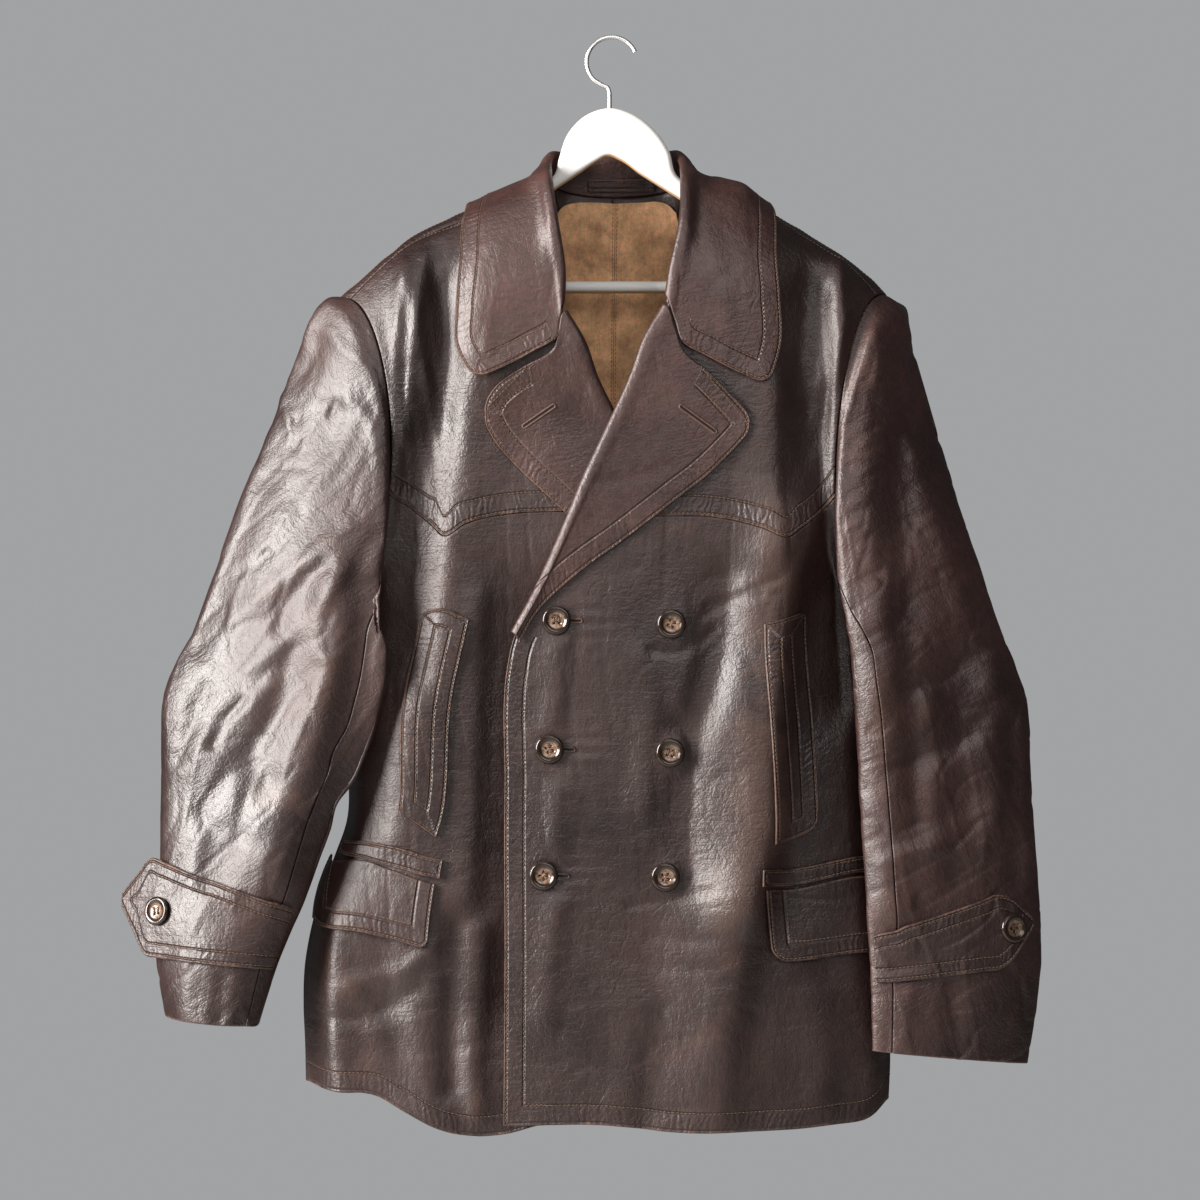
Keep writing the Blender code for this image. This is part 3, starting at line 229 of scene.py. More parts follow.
def smooth_through(points, count):
    """Evenly spaced places on a smooth curve through the points, ends included."""
    points = np.asarray(points, float)
    if len(points) == 2:
        share = np.linspace(0, 1, count + 1)[:, None]
        return points[0] * (1 - share) + points[1] * share
    reach = np.concatenate([[0], np.cumsum(np.linalg.norm(np.diff(points, axis=0), axis=1))])
    slope = np.gradient(points, reach, axis=0)
    dense = np.linspace(0, reach[-1], 60 * len(points))
    span = np.clip(np.searchsorted(reach, dense, side="right") - 1, 0, len(points) - 2)
    width = (reach[span + 1] - reach[span])[:, None]
    t = (dense - reach[span])[:, None] / width
    curve = course(points, slope, span, t, width)
    along = np.concatenate([[0], np.cumsum(np.linalg.norm(np.diff(curve, axis=0), axis=1))])
    even = np.linspace(0, along[-1], count + 1)
    return np.stack([np.interp(even, along, curve[:, k]) for k in range(points.shape[1])], axis=1)


RIDGE_CURVE = smooth_through(RIDGE, 400) * MM
SIDE_CURVES = [smooth_through(side, 400) * MM for side in (SIDE_RIGHT, SIDE_LEFT)]


def chain(*stretches):
    """Stretches of (points, count) joined end to end, each smooth in itself."""
    parts = [smooth_through(points, count) for points, count in stretches]
    return np.concatenate([parts[0]] + [part[1:] for part in parts[1:]])


def coons(bottom, top, start, end):
    """A grid, rows from bottom to top and columns from start to end, that meets its four edges.

    What bends an end edge is spread over the near columns most, so that no column crosses the next.
    """
    v = np.linspace(0, 1, len(start))[:, None, None]
    u = np.linspace(0, 1, len(bottom))[None, :, None]
    across = (1 - v) * bottom[None] + v * top[None]
    start_bend = start[:, None] - across[:, :1]
    end_bend = end[:, None] - across[:, -1:]
    return across + (1 - u) ** 2 * start_bend + u**2 * end_bend


def ramp(value, low, high):
    """0 up to low, 1 from high on, smooth between."""
    t = np.clip((value - low) / (high - low), 0, 1)
    return t * t * (3 - 2 * t)


def ridge(x):
    return np.interp(x, RIDGE_CURVE[:, 0], RIDGE_CURVE[:, 1])


def sides(z):
    return [np.interp(z, side[:, 0], side[:, 1]) for side in SIDE_CURVES]


def to_angles(points, facing=1):
    """(x, z) on the flat as (angle round the body, angle over the shoulder), the latter negative at the back."""
    x, z = points[..., 0], points[..., 1]
    right, left = sides(z)
    share = np.clip((2 * x - left - right) / (left - right), -1, 1)
    around = np.arccos(np.sign(share) * np.abs(share) ** (SIDE_ROUNDING / 2))
    drop = np.clip((ridge(x) - z) / SHOULDER_DROP, 0, None)
    over = np.where(drop < 1, np.arccos(1 - np.minimum(drop, 1)), math.pi / 2 + drop - 1)
    return np.stack([around, over * facing], axis=-1)


def fold_height(x, z, folds):
    """Height in metres of soft ridges and troughs that run along their routes."""
    total = np.zeros(np.shape(x))
    here = np.stack([x, z], axis=-1)
    for route, width, height in folds:
        points = smooth_through(route, 8) * MM
        nearest = np.full(np.shape(x), np.inf)
        for a, b in zip(points[:-1], points[1:]):
            share = np.clip(((here - a) @ (b - a)) / ((b - a) @ (b - a)), 0, 1)
            nearest = np.minimum(nearest, np.linalg.norm(here - a - share[..., None] * (b - a), axis=-1))
        total += height * MM * np.exp(-((nearest / (width * MM)) ** 2))
    return total


def underlap(x, z):
    """How far the under front falls back to leave room for the front and lapel that lie over it."""
    across = ramp(x, *UNDERLAP_RAMP)
    return UNDERLAP_DEPTH * across * (1 - ramp(z, *UNDERLAP_TOP))


def surface(angles, under=False):
    """The outer face of the body at these angles."""
    around, over = angles[..., 0], angles[..., 1]
    steep = np.abs(over)
    fall = SHOULDER_DROP * np.where(steep < math.pi / 2, 1 - np.cos(steep), 1 + steep - math.pi / 2)
    turn = np.cos(around)
    share = np.sign(turn) * np.abs(turn) ** (2 / SIDE_ROUNDING)
    x = share * 0.2
    for _ in range(25):
        z = ridge(x) - fall
        right, left = sides(z)
        x = (left + right) / 2 + share * (left - right) / 2
    roundness = np.abs(np.sin(around)) ** (2 / SIDE_ROUNDING) * np.sin(np.minimum(steep, math.pi / 2))
    front = over >= 0
    depth = np.where(front, FRONT_DEPTH, BACK_DEPTH) * roundness
    folds = np.where(front, fold_height(x, z, FRONT_FOLDS), fold_height(x, z, BACK_FOLDS))
    depth = depth + folds * np.clip(depth / FOLD_FADE, 0, 1)
    if under:
        depth = depth - underlap(x, z) * np.clip(depth / FOLD_FADE, 0, 1)
    return np.stack([x, np.where(front, -depth, depth), z], axis=-1)


def unit(vectors):
    return vectors / np.linalg.norm(vectors, axis=-1, keepdims=True)


def surface_normals(angles, under=False, step=2e-4):
    """Outward normals of the body's outer face."""
    inside = angles.copy()
    inside[..., 0] = np.clip(inside[..., 0], 2 * step, math.pi - 2 * step)
    sign = np.where(inside[..., 1] >= 0, 1.0, -1.0)
    inside[..., 1] = sign * np.maximum(np.abs(inside[..., 1]), 2 * step)
    round_step = np.array([step, 0])
    over_step = np.array([0, step])
    across = surface(inside + round_step, under) - surface(inside - round_step, under)
    down = surface(inside + over_step, under) - surface(inside - over_step, under)
    normal = unit(np.cross(across, down))
    centre = np.array([0.0, 0.0, -0.45])
    outward = np.sum(normal * (surface(inside, under) - centre), axis=-1)
    return normal * np.where(outward < 0, -1.0, 1.0)[..., None]


def trimmed(grid, gap=SEAM_GAP / 2):
    """The grid with its edges drawn in by half a seam's gap."""
    grid = grid.copy()
    for edge, beside in ((0, 1), (-1, -2)):
        grid[edge] += unit(grid[beside] - grid[edge]) * gap
        grid[:, edge] += unit(grid[:, beside] - grid[:, edge]) * gap
    return grid


def grid_normals(grid):
    """Normals of a grid of points, from its own rows and columns."""
    return unit(np.cross(np.gradient(grid, axis=1), np.gradient(grid, axis=0)))


def armhole(seam, angles, facing):
    """Points of an armhole seam on the flat, at these angles round it."""
    top, low, side = (np.array(seam[key], float) for key in ("top", "low", "front" if facing > 0 else "back"))
    centre = (top + low) / 2
    turn = np.radians(angles)[:, None]
    return centre + (top - low) / 2 * np.cos(turn) + (side - centre) * np.abs(np.sin(turn))


def shoulder(neck, point, count):
    """Points along the ridge from the neck to the shoulder point."""
    x = np.linspace(neck[0], point[0], count + 1)
    return np.stack([x, ridge(x * MM) / MM], axis=1)


# How far apart a cut piece's points lie, and the rows of stitches: how far in from the edge
STEP = 0.0028
EDGE_ROW = 0.0022
INNER_ROW = 0.017
GROOVE_HALF_WIDTH = 0.0017
PUCKER_LENGTH = 0.0062

# How a cut piece's relief dies away at a sewn side, and where the leather is rubbed or gathered beside an edge
STILL_REACH = (0.0008, 0.014)
RIM_REACH = 0.02
FRINGE_REACH = 0.020
NO_SEAM = 1.0

# Colours of the hide: its dye in the dark and light parts, painted shade in its creases, and where the dye has gone
DARK_DYE = (0.0105, 0.0036, 0.0028)
BROWN_DYE = (0.036, 0.0135, 0.0105)
CREASE_SHADE = (0.012, 0.005, 0.004, 1)
SCUFFED_HIDE = (0.125, 0.060, 0.040, 1)
RUBBED_HIDE = (0.130, 0.060, 0.038, 1)


def lattice(points, scale, seed):
    """Smooth noise between -1 and 1; scale is how many lumps go to a metre, along each axis."""
    places = points * np.asarray(scale, float)
    base = np.floor(places).astype(np.int64)
    share = places - base
    share = share * share * (3 - 2 * share)
    total = np.zeros(points.shape[:-1])
    for corner in np.ndindex(2, 2, 2):
        cell = base + corner
        code = cell[..., 0] * 73856093 ^ cell[..., 1] * 19349663 ^ cell[..., 2] * 83492791 ^ seed * 2654435761
        code = ((code & 0xFFFFFFFF) ^ ((code & 0xFFFFFFFF) >> 13)) * 1274126177 & 0xFFFFFFFF
        code ^= code >> 16
        weight = np.prod(np.where(corner, share, 1 - share), axis=-1)
        total += (code / 2**31 - 1) * weight
    return total


def crinkle(points, scale, seed, sharp=5.0):
    """Thin winding creases, 1 in the middle of a crease and falling to 0 beside it."""
    warp = np.stack([lattice(points, 14, seed + k) for k in (1, 2, 3)], axis=-1) * 0.012
    return np.clip(1 - np.abs(lattice(points + warp, scale, seed)) * sharp, 0, 1) ** 1.5


def spread(length, step):
    """Places from 0 to 1 along a length, close together at both ends so that a rim can round over."""
    near = np.array([0.0004, 0.0010, 0.0019, 0.0032]) / length
    middle = np.linspace(near[-1], 1 - near[-1], max(2, int(length / step)) + 1)
    return np.concatenate([[0], near[:-1], middle, 1 - near[-2::-1], [1]])


def refine(grid, rows, columns):
    """A finer grid, smooth through a coarse one, at these places along and across it."""
    for axis, places in ((0, rows), (1, columns)):
        grid = np.swapaxes(grid, 0, axis)
        gaps = np.linalg.norm(np.diff(grid[..., :3], axis=0), axis=-1).mean(axis=1)
        reach = np.concatenate([[0], np.cumsum(gaps)]) / gaps.sum()
        slope = np.gradient(grid, reach, axis=0)
        span = np.clip(np.searchsorted(reach, places, side="right") - 1, 0, len(reach) - 2)
        width = (reach[span + 1] - reach[span])[:, None, None]
        t = (places - reach[span])[:, None, None] / width
        grid = np.swapaxes(course(grid, slope, span, t, width), 0, axis)
    return grid


def seen_from(grid, side):
    """The grid turned so that its second axis runs inwards from one of its four sides."""
    if side in ("bottom", "top"):
        grid = np.swapaxes(grid, 0, 1)
    return grid[:, ::-1] if side in ("end", "top") else grid


def inward(grid, side):
    """How far each point lies in from one side, and how far along that side."""
    turned = seen_from(grid, side)
    steps = np.diff(turned, axis=1)
    edge = unit(np.gradient(turned[:, 0], axis=0))
    sine = np.linalg.norm(np.cross(edge, unit(steps[:, :6].sum(axis=1))), axis=-1)
    far = np.cumsum(np.linalg.norm(steps, axis=-1), axis=1) * sine[:, None]
    far = np.concatenate([np.zeros((len(far), 1)), far], axis=1)
    run = np.concatenate([[0], np.cumsum(np.linalg.norm(np.diff(turned[:, 0], axis=0), axis=-1))])
    run = np.broadcast_to(run[:, None], far.shape)
    if side in ("end", "top"):
        far, run = far[:, ::-1], run[:, ::-1]
    return (far.T, run.T) if side in ("bottom", "top") else (far, run)


def creased(points, creases):
    """Height of lopsided soft ridges and troughs, each a route, its widths to both sides and its height, in mm."""
    here = points[..., [0, 2]]
    total = np.zeros(here.shape[:-1])
    for route, left, right, height in creases:
        path = smooth_through(route, 10) * MM
        reach = 2.6 * max(left, right) * MM
        near = np.all((here > path.min(axis=0) - reach) & (here < path.max(axis=0) + reach), axis=-1)
        spots = here[near]
        best = np.full(len(spots), np.inf)
        turn = np.zeros(len(spots))
        for a, b in zip(path[:-1], path[1:]):
            run = b - a
            share = np.clip((spots - a) @ run / (run @ run), 0, 1)
            off = spots - a - share[:, None] * run
            far = np.linalg.norm(off, axis=-1)
            sine = (run[0] * off[:, 1] - run[1] * off[:, 0]) / (np.linalg.norm(run) * np.maximum(far, 1e-9))
            closer = far < best
            best, turn = np.where(closer, far, best), np.where(closer, sine, turn)
        width = ((1 + turn) * right + (1 - turn) * left) / 2 * MM
        total[near] += height * MM * np.exp(-((best / width) ** 2))
    return total


def calm(points, spots, radius=0.017):
    """0 under each button and 1 away from them all, so that buttons sit on flat leather."""
    total = np.ones(points.shape[:-1])
    for x, z in spots:
        far = np.hypot(points[..., 0] - x * MM, points[..., 2] - z * MM)
        total *= 1 - np.exp(-((far / radius) ** 4))
    return total


def ride(piece, node, slot=None):
    """The piece is parented to the coat's root empty."""
    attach(piece, "root")
    slot or node
    return piece


def new_object(name, points, faces, material, attributes=()):
    mesh = bpy.data.meshes.new(name)
    mesh.from_pydata(points.tolist(), [], faces)
    mesh.materials.append(material)
    mesh.shade_smooth()
    for key, values in attributes:
        layer = mesh.attributes.new(key, "FLOAT", "POINT")
        layer.data.foreach_set("value", np.asarray(values, np.float32))
    made = bpy.data.objects.new(name, mesh)
    bpy.context.scene.collection.objects.link(made)
    return made


def round_corners(grid, corners):
    """The grid with some of its corners drawn in to an arc, as a maker cuts them."""
    for across, down, radius in corners:
        turned = seen_from(grid, down)
        flipped = across in ("top", "end")
        if flipped:
            turned = turned[::-1]
        steps = [np.diff(turned, axis=axis) for axis in (0, 1)]
        reach = [np.cumsum(np.linalg.norm(step, axis=-1), axis=axis) for axis, step in enumerate(steps)]
        reach = [np.insert(far, 0, 0, axis=axis) for axis, far in enumerate(reach)]
        ways = [unit(np.gradient(turned, axis=axis)) for axis in (0, 1)]
        from_arc = [np.clip(radius - far, 0, None) for far in reach]
        square = np.maximum(*from_arc)
        pull = 1 - square / np.maximum(np.hypot(*from_arc), 1e-9)
        turned = turned + sum(way * (far * pull)[..., None] for way, far in zip(ways, from_arc))
        if flipped:
            turned = turned[::-1]
        grid = turned[:, ::-1] if down in ("end", "top") else turned
        if down in ("bottom", "top"):
            grid = np.swapaxes(grid, 0, 1)
    return grid


LAID = {}
THREAD_RUNS = {}


def cloth(name, outer, inner, thickness, material, relief, sewn=(), hold="hung", on=(), step=None, fringe=0.0,
          worn=("bottom", "top", "start", "end"), still=(), rounded=()):
    """A cut piece of leather or lining over its coarse grid, laid as its solid lies.

    sewn lists stitch rows as (side, distance in, from, to). worn names the sides whose rims are rubbed, or parts
    of them as (side, from, to). still names the sewn sides where the relief dies away, and rounded the corners
    that are cut round, as (side, side, radius).
    """
    down = np.linalg.norm(np.diff(outer, axis=0), axis=-1).sum(axis=0)
    across = np.linalg.norm(np.diff(outer, axis=1), axis=-1).sum(axis=1)
    places = spread(down.mean(), step or STEP), spread(across.mean(), step or STEP)
    fine = refine(outer, *places)
    depth = unit(refine(np.concatenate([outer, outer - inner], axis=-1), *places)[..., 3:])
    normals = grid_normals(fine)
    normals *= np.sign(np.sum(normals * depth))
    turned = np.sum(normals * depth, axis=-1, keepdims=True) < 0.3
    depth = np.where(turned, normals, depth)
    fine = round_corners(fine, rounded)
    sides = {side: inward(fine, side) for side in ("bottom", "top", "start", "end")}
    edge = np.min([far for far, _ in sides.values()], axis=0)
    heights = relief(fine, normals)
    for side in still:
        heights = heights * ramp(sides[side][0], *STILL_REACH)
    rim = np.full(edge.shape, RIM_REACH)
    for side in worn:
        side, low, high = side if isinstance(side, tuple) else (side, 0, 1)
        far, run = sides[side]
        rim = np.where((run >= low * run.max()) & (run <= high * run.max()), np.minimum(rim, far), rim)
    seam = np.full(edge.shape, NO_SEAM)
    along = np.zeros(edge.shape)
    for side, _, low, high in sewn:
        far, run = sides[side]
        share = run / run.max()
        nearer = (far < seam) & (share >= low) & (share <= high)
        seam, along = np.where(nearer, far, seam), np.where(nearer, run, along)
    if fringe:
        wave = lattice(np.stack([along, seam, np.zeros_like(along)], axis=-1), (75, 30, 1), len(name))
        heights = heights + fringe * (0.6 + wave) * np.clip(1 - seam / FRINGE_REACH, 0, 1)
    low = heights
    for axis in (0, 1):
        low = np.min([np.roll(low, shift, axis) for shift in (-1, 0, 1)], axis=0)
    low[[0, -1]], low[:, [0, -1]] = heights[[0, -1]], heights[:, [0, -1]]
    forward = ramp(np.abs(normals[..., 1:2]), 0.25, 0.75)
    ways = unit(normals * (1 - forward) + np.sign(normals[..., 1:2]) * forward * np.array([0, 1.0, 0]))
    sunk = fine + ways * low[..., None]
    fine = fine + ways * heights[..., None]
    normals = grid_normals(fine)
    normals *= np.sign(np.sum(normals * depth))
    half = thickness / 2
    drop = half - np.sqrt(half**2 - np.clip(half - edge, 0, None) ** 2)
    fine = fine - normals * drop[..., None]
    LAID[name] = (fine, normals)

    rows, columns = edge.shape
    pick = [sorted(set(range(0, count, 2)) | {count - 1}) for count in (rows, columns)]
    sub = np.ix_(*pick)
    back = sunk[sub] - depth[sub] * (thickness - drop[sub])[..., None]
    index = np.arange(rows * columns).reshape(rows, columns)
    under = np.arange(len(pick[0]) * len(pick[1])).reshape(len(pick[0]), len(pick[1])) + rows * columns
    faces = []
    for grid, flip in ((index, False), (under, True)):
        quads = np.stack([grid[:-1, :-1], grid[:-1, 1:], grid[1:, 1:], grid[1:, :-1]], axis=-1).reshape(-1, 4)
        faces += (quads[:, ::-1] if flip else quads).tolist()
    for line, below, marks, flip in (
        (index[0], under[0], pick[1], False), (index[-1], under[-1], pick[1], True),
        (index[:, 0], under[:, 0], pick[0], True), (index[:, -1], under[:, -1], pick[0], False),
    ):
        for k, (a, b) in enumerate(zip(marks[:-1], marks[1:])):
            face = line[a:b + 1][::-1].tolist() + [int(below[k]), int(below[k + 1])]
            faces.append(face[::-1] if flip else face)
    points = np.concatenate([fine.reshape(-1, 3), back.reshape(-1, 3)])
    ahead = np.concatenate([normals.reshape(-1, 3), -depth[sub].reshape(-1, 3)])
    first = np.array([face[:3] for face in faces[:400]])
    p, q, r = (points[first[:, k]] for k in range(3))
    if np.sum(np.cross(q - p, r - p) * ahead[first[:, 0]]) < 0:
        faces = [face[::-1] for face in faces]
    pad = lambda values, rest: np.concatenate([values.ravel(), np.full(back[..., 0].size, rest)])
    made = new_object(name + "_skin", points, faces, material, (
        ("rim", pad(np.minimum(rim, RIM_REACH), RIM_REACH)), ("seam", pad(seam, NO_SEAM)),
        ("along", pad(along, 0.0)), ("relief", pad(heights, 0.0)),
    ))
    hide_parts(name)
    ride(made, name)
    steps_across, steps_down = np.diff(fine[:-1], axis=1), np.diff(fine[:, :-1], axis=0)
    list(on)
    for side, distance, low, high in sewn:
        run_stitches(name, fine, normals, sides[side][0] if len(sewn) == 1 else seam, side, distance, low, high)
    return made


def run_stitches(name, fine, normals, far, side, distance, low, high):
    """Keeps the line that lies a distance in from one side, for its stitches."""
    grid, out, far = (seen_from(values, side) for values in (fine, normals, far))
    half = grid.shape[1] // 2
    count = len(grid)
    keep = slice(int(low * (count - 1)), int(high * (count - 1)) + 1)
    reached = far[keep, :half] >= distance
    rows = np.flatnonzero(reached.any(axis=1) & ~reached[:, 0])
    column = reached[rows].argmax(axis=1)
    grid, out, far = grid[keep], out[keep], far[keep]
    before, after = far[rows, column - 1], far[rows, column]
    share = ((distance - before) / (after - before))[:, None]
    line = grid[rows, column - 1] * (1 - share) + grid[rows, column] * share
    normal = out[rows, column - 1] * (1 - share) + out[rows, column] * share
    if len(line) > 3:
        THREAD_RUNS.setdefault(name, []).append((line, unit(normal)))


def maths(tree, operation, *values):
    """The result of a math node on its values."""
    sockets = {f"_{k}": value for k, value in enumerate(values)}
    return add(tree, "Math", {"operation": operation}, **sockets).outputs[0]


def smoothed(tree, value, low, high):
    """0 where the value is low and 1 where it is high, smooth between."""
    kind = {"interpolation_type": "SMOOTHSTEP"}
    return add(tree, "MapRange", kind, Value=value, From_Min=low, From_Max=high).outputs[0]


def noise(tree, place, scale, detail=2.0, roughness=0.5, distortion=0.0):
    """Cloudy noise, from 0 to 1, with this many clouds to a metre."""
    return add(tree, "TexNoise", Vector=place, Scale=scale, Detail=detail, Roughness=roughness,
               Distortion=distortion).outputs["Fac"]


def ranged(tree, value, low, high, first=0.0, last=1.0):
    """A value's range from low to high, drawn out evenly to first to last."""
    return add(tree, "MapRange", Value=value, From_Min=low, From_Max=high, To_Min=first, To_Max=last).outputs[0]


def mixed(tree, share, first, second):
    """A share of the second colour over the first."""
    return add(tree, "MixRGB", Fac=share, Color1=first, Color2=second).outputs[0]


def surface_value(tree, name):
    """What the leather's points carry under this name."""
    return add(tree, "Attribute", {"attribute_name": name}).outputs["Fac"]


def new_group(name, vectors, numbers, results):
    """An empty node group, with what goes into it and what comes out of it."""
    group = bpy.data.node_groups.new(name, "ShaderNodeTree")
    for sockets, way, kind in (
        (vectors, "INPUT", "NodeSocketVector"), (numbers, "INPUT", "NodeSocketFloat"),
        (results, "OUTPUT", "NodeSocketFloat"),
    ):
        for socket in sockets:
            group.interface.new_socket(socket, in_out=way, socket_type=kind)
    return group, group.nodes.new("NodeGroupInput").outputs, group.nodes.new("NodeGroupOutput").inputs


def grain_group():
    """Height and tone of worn cowhide: pores, soft cells, winding wrinkles, and fine ones that run across Lean."""
    group, given, results = new_group("grain", ("Vector", "Lean"), (), ("Height", "Tone", "Lines"))
    place, lean = given["Vector"], given["Lean"]
    masks = noise(group, place, 9.0)
    pores = noise(group, place, 1500.0)
    cells = add(group, "TexVoronoi", {"feature": "DISTANCE_TO_EDGE"}, Vector=place, Scale=400.0)
    pebble = noise(group, place, 330.0, detail=3.0, roughness=0.62)
    cell = ranged(group, cells.outputs["Distance"], 0.0, 0.25)
    swell = noise(group, place, 48.0, detail=3.0, roughness=0.55)
    lines, total = [], 0.0
    for scale, width, seed, weight in ((34.0, 0.05, 0.0, 0.30), (84.0, 0.10, 3.7, 0.26), (190.0, 0.14, 8.1, 0.22)):
        shifted = add(group, "VectorMath", {"operation": "ADD"}, _0=place, _1=(seed, seed, seed))
        wave = noise(group, shifted.outputs[0], scale, distortion=0.8)
        near = maths(group, "ABSOLUTE", maths(group, "SUBTRACT", wave, 0.5))
        lines.append(smoothed(group, near, 0.0, width))
        total = maths(group, "MULTIPLY_ADD", lines[-1], weight, total)
    strength = ranged(group, masks, 0.38, 0.62, 0.25, 1.0)
    total = maths(group, "MULTIPLY", total, strength)
    other = ranged(group, masks, 0.56, 0.42)
    for scale, mask in (((60.0, 60.0, 400.0), strength), ((240.0, 240.0, 80.0), other)):
        drawn = add(group, "Mapping", Vector=lean, Scale=scale)
        wave = noise(group, drawn.outputs[0], 1.0, detail=2.5, distortion=0.35)
        total = maths(group, "MULTIPLY_ADD", wave, mask, total)
    for wave, weight in ((swell, 1.2), (cell, 0.14), (pebble, 0.40), (pores, 0.12)):
        total = maths(group, "MULTIPLY_ADD", wave, weight, total)
    cloud = noise(group, place, 7.0, detail=5.0, roughness=0.6)
    for socket, value in (("Height", total), ("Tone", cloud), ("Lines", lines[1])):
        group.links.new(value, results[socket])
    return group


def sewn_group():
    """Height of stitch grooves and of the puckers between them, from how far in and along a seam a point lies."""
    group, given, results = new_group("sewn", (), ("First", "Second", "Pucker"), ("Height",))
    seam, along = surface_value(group, "seam"), surface_value(group, "along")
    grooves = [
        smoothed(group, maths(group, "ABSOLUTE", maths(group, "SUBTRACT", seam, row)), 0.0, GROOVE_HALF_WIDTH)
        for row in (given["First"], given["Second"])
    ]
    uneven = add(group, "CombineXYZ", X=along, Y=seam).outputs[0]
    rough = noise(group, uneven, 70.0)
    shifted = maths(group, "MULTIPLY_ADD", rough, 0.017, along)
    wave = maths(group, "SINE", maths(group, "MULTIPLY", shifted, 2 * math.pi / PUCKER_LENGTH))
    patchy = noise(group, uneven, 24.0, detail=1.0)
    much = ranged(group, patchy, 0.36, 0.62, 0.25, 1.0)
    faded = maths(group, "MULTIPLY", smoothed(group, seam, 0.021, 0.012), much)
    puckers = maths(group, "MULTIPLY", maths(group, "MULTIPLY", wave, faded), given["Pucker"])
    group.links.new(maths(group, "ADD", maths(group, "MULTIPLY", *grooves), puckers), results["Height"])
    return group


def wear_group():
    """Where the dye has rubbed off: along rims, on raised folds and in scattered scuffs."""
    group, given, results = new_group("wear", ("Vector",), (), ("Rim", "Scuff"))
    place = given["Vector"]
    edge, relief = surface_value(group, "rim"), surface_value(group, "relief")
    patchy = noise(group, place, 55.0, detail=4.0, roughness=0.65)
    wander = ranged(group, patchy, 0.34, 0.66, -0.0004, 0.0026)
    rim = smoothed(group, maths(group, "SUBTRACT", wander, edge), -0.0006, 0.0012)
    streak = noise(group, place, 20.0, detail=8.0, roughness=0.7, distortion=0.5)
    scuff = smoothed(group, maths(group, "MULTIPLY_ADD", relief, 22.0, streak), 0.58, 0.80)
    group.links.new(rim, results["Rim"])
    group.links.new(scuff, results["Scuff"])
    return group


GRAIN, SEWN, WEAR = grain_group(), sewn_group(), wear_group()


def group_node(tree, group, **sockets):
    made = tree.nodes.new("ShaderNodeGroup")
    made.node_tree = group
    for key, value in sockets.items():
        if isinstance(value, bpy.types.NodeSocket):
            tree.links.new(value, made.inputs[key])
        else:
            made.inputs[key].default_value = value
    return made


def leather_material(name, first=EDGE_ROW, second=INNER_ROW, pucker=0.16, tint=1.0, lean=0.0):
    """Worn dark brown leather with stitch rows at two distances in from the sewn sides."""
    made, tree, shader, place = new_material(name)
    turned = add(tree, "Mapping", Vector=place, Rotation=(0.0, math.radians(lean), 0.0))
    grain = group_node(tree, GRAIN, Vector=place, Lean=turned.outputs[0])
    sewn = group_node(tree, SEWN, First=first, Second=second, Pucker=pucker)
    wear = group_node(tree, WEAR, Vector=place)
    dark, mid = ((*(part * tint for part in dye), 1) for dye in (DARK_DYE, BROWN_DYE))
    share = ranged(tree, grain.outputs["Tone"], 0.30, 0.70)
    base = mixed(tree, share, dark, mid)
    # Painted shade: the dye is darkened along the grain's fine crease lines, where the bump sinks
    crease_shade_share = ranged(tree, grain.outputs["Lines"], 0.0, 1.0, 0.35, 0.0)
    crease_shaded_tone = mixed(tree, crease_shade_share, base, CREASE_SHADE)
    scuffed = maths(tree, "MULTIPLY", wear.outputs["Scuff"], 0.22)
    rubbed = mixed(tree, scuffed, crease_shaded_tone, SCUFFED_HIDE)
    rimmed = maths(tree, "MULTIPLY", wear.outputs["Rim"], 0.62)
    colour = mixed(tree, rimmed, rubbed, RUBBED_HIDE)
    tree.links.new(colour, shader.inputs["Base Color"])
    gloss = ranged(tree, grain.outputs["Tone"], 0.3, 0.7, 0.38, 0.54)
    worn = maths(tree, "MULTIPLY_ADD", wear.outputs["Rim"], 0.18, gloss)
    tree.links.new(worn, shader.inputs["Roughness"])
    shader.inputs["Specular IOR Level"].default_value = 0.72
    coarse = add(tree, "Bump", Strength=0.8, Distance=0.0011, Height=sewn.outputs["Height"])
    fine = add(tree, "Bump", Strength=0.50, Distance=0.0009, Height=grain.outputs["Height"],
               Normal=coarse.outputs["Normal"])
    tree.links.new(fine.outputs["Normal"], shader.inputs["Normal"])
    return made


EDGED = leather_material("leather_edged", pucker=0.16)


def soft_lumps(points, normals=None):
    """Unevenness of hung leather that has been worn for years, in metres."""
    lumps = 0.0011 * lattice(points, (13, 13, 9), 5) + 0.0006 * lattice(points, (34, 34, 24), 11)
    return lumps + 0.00022 * lattice(points, (95, 95, 80), 19)


HOLD = ["hanger_board"]


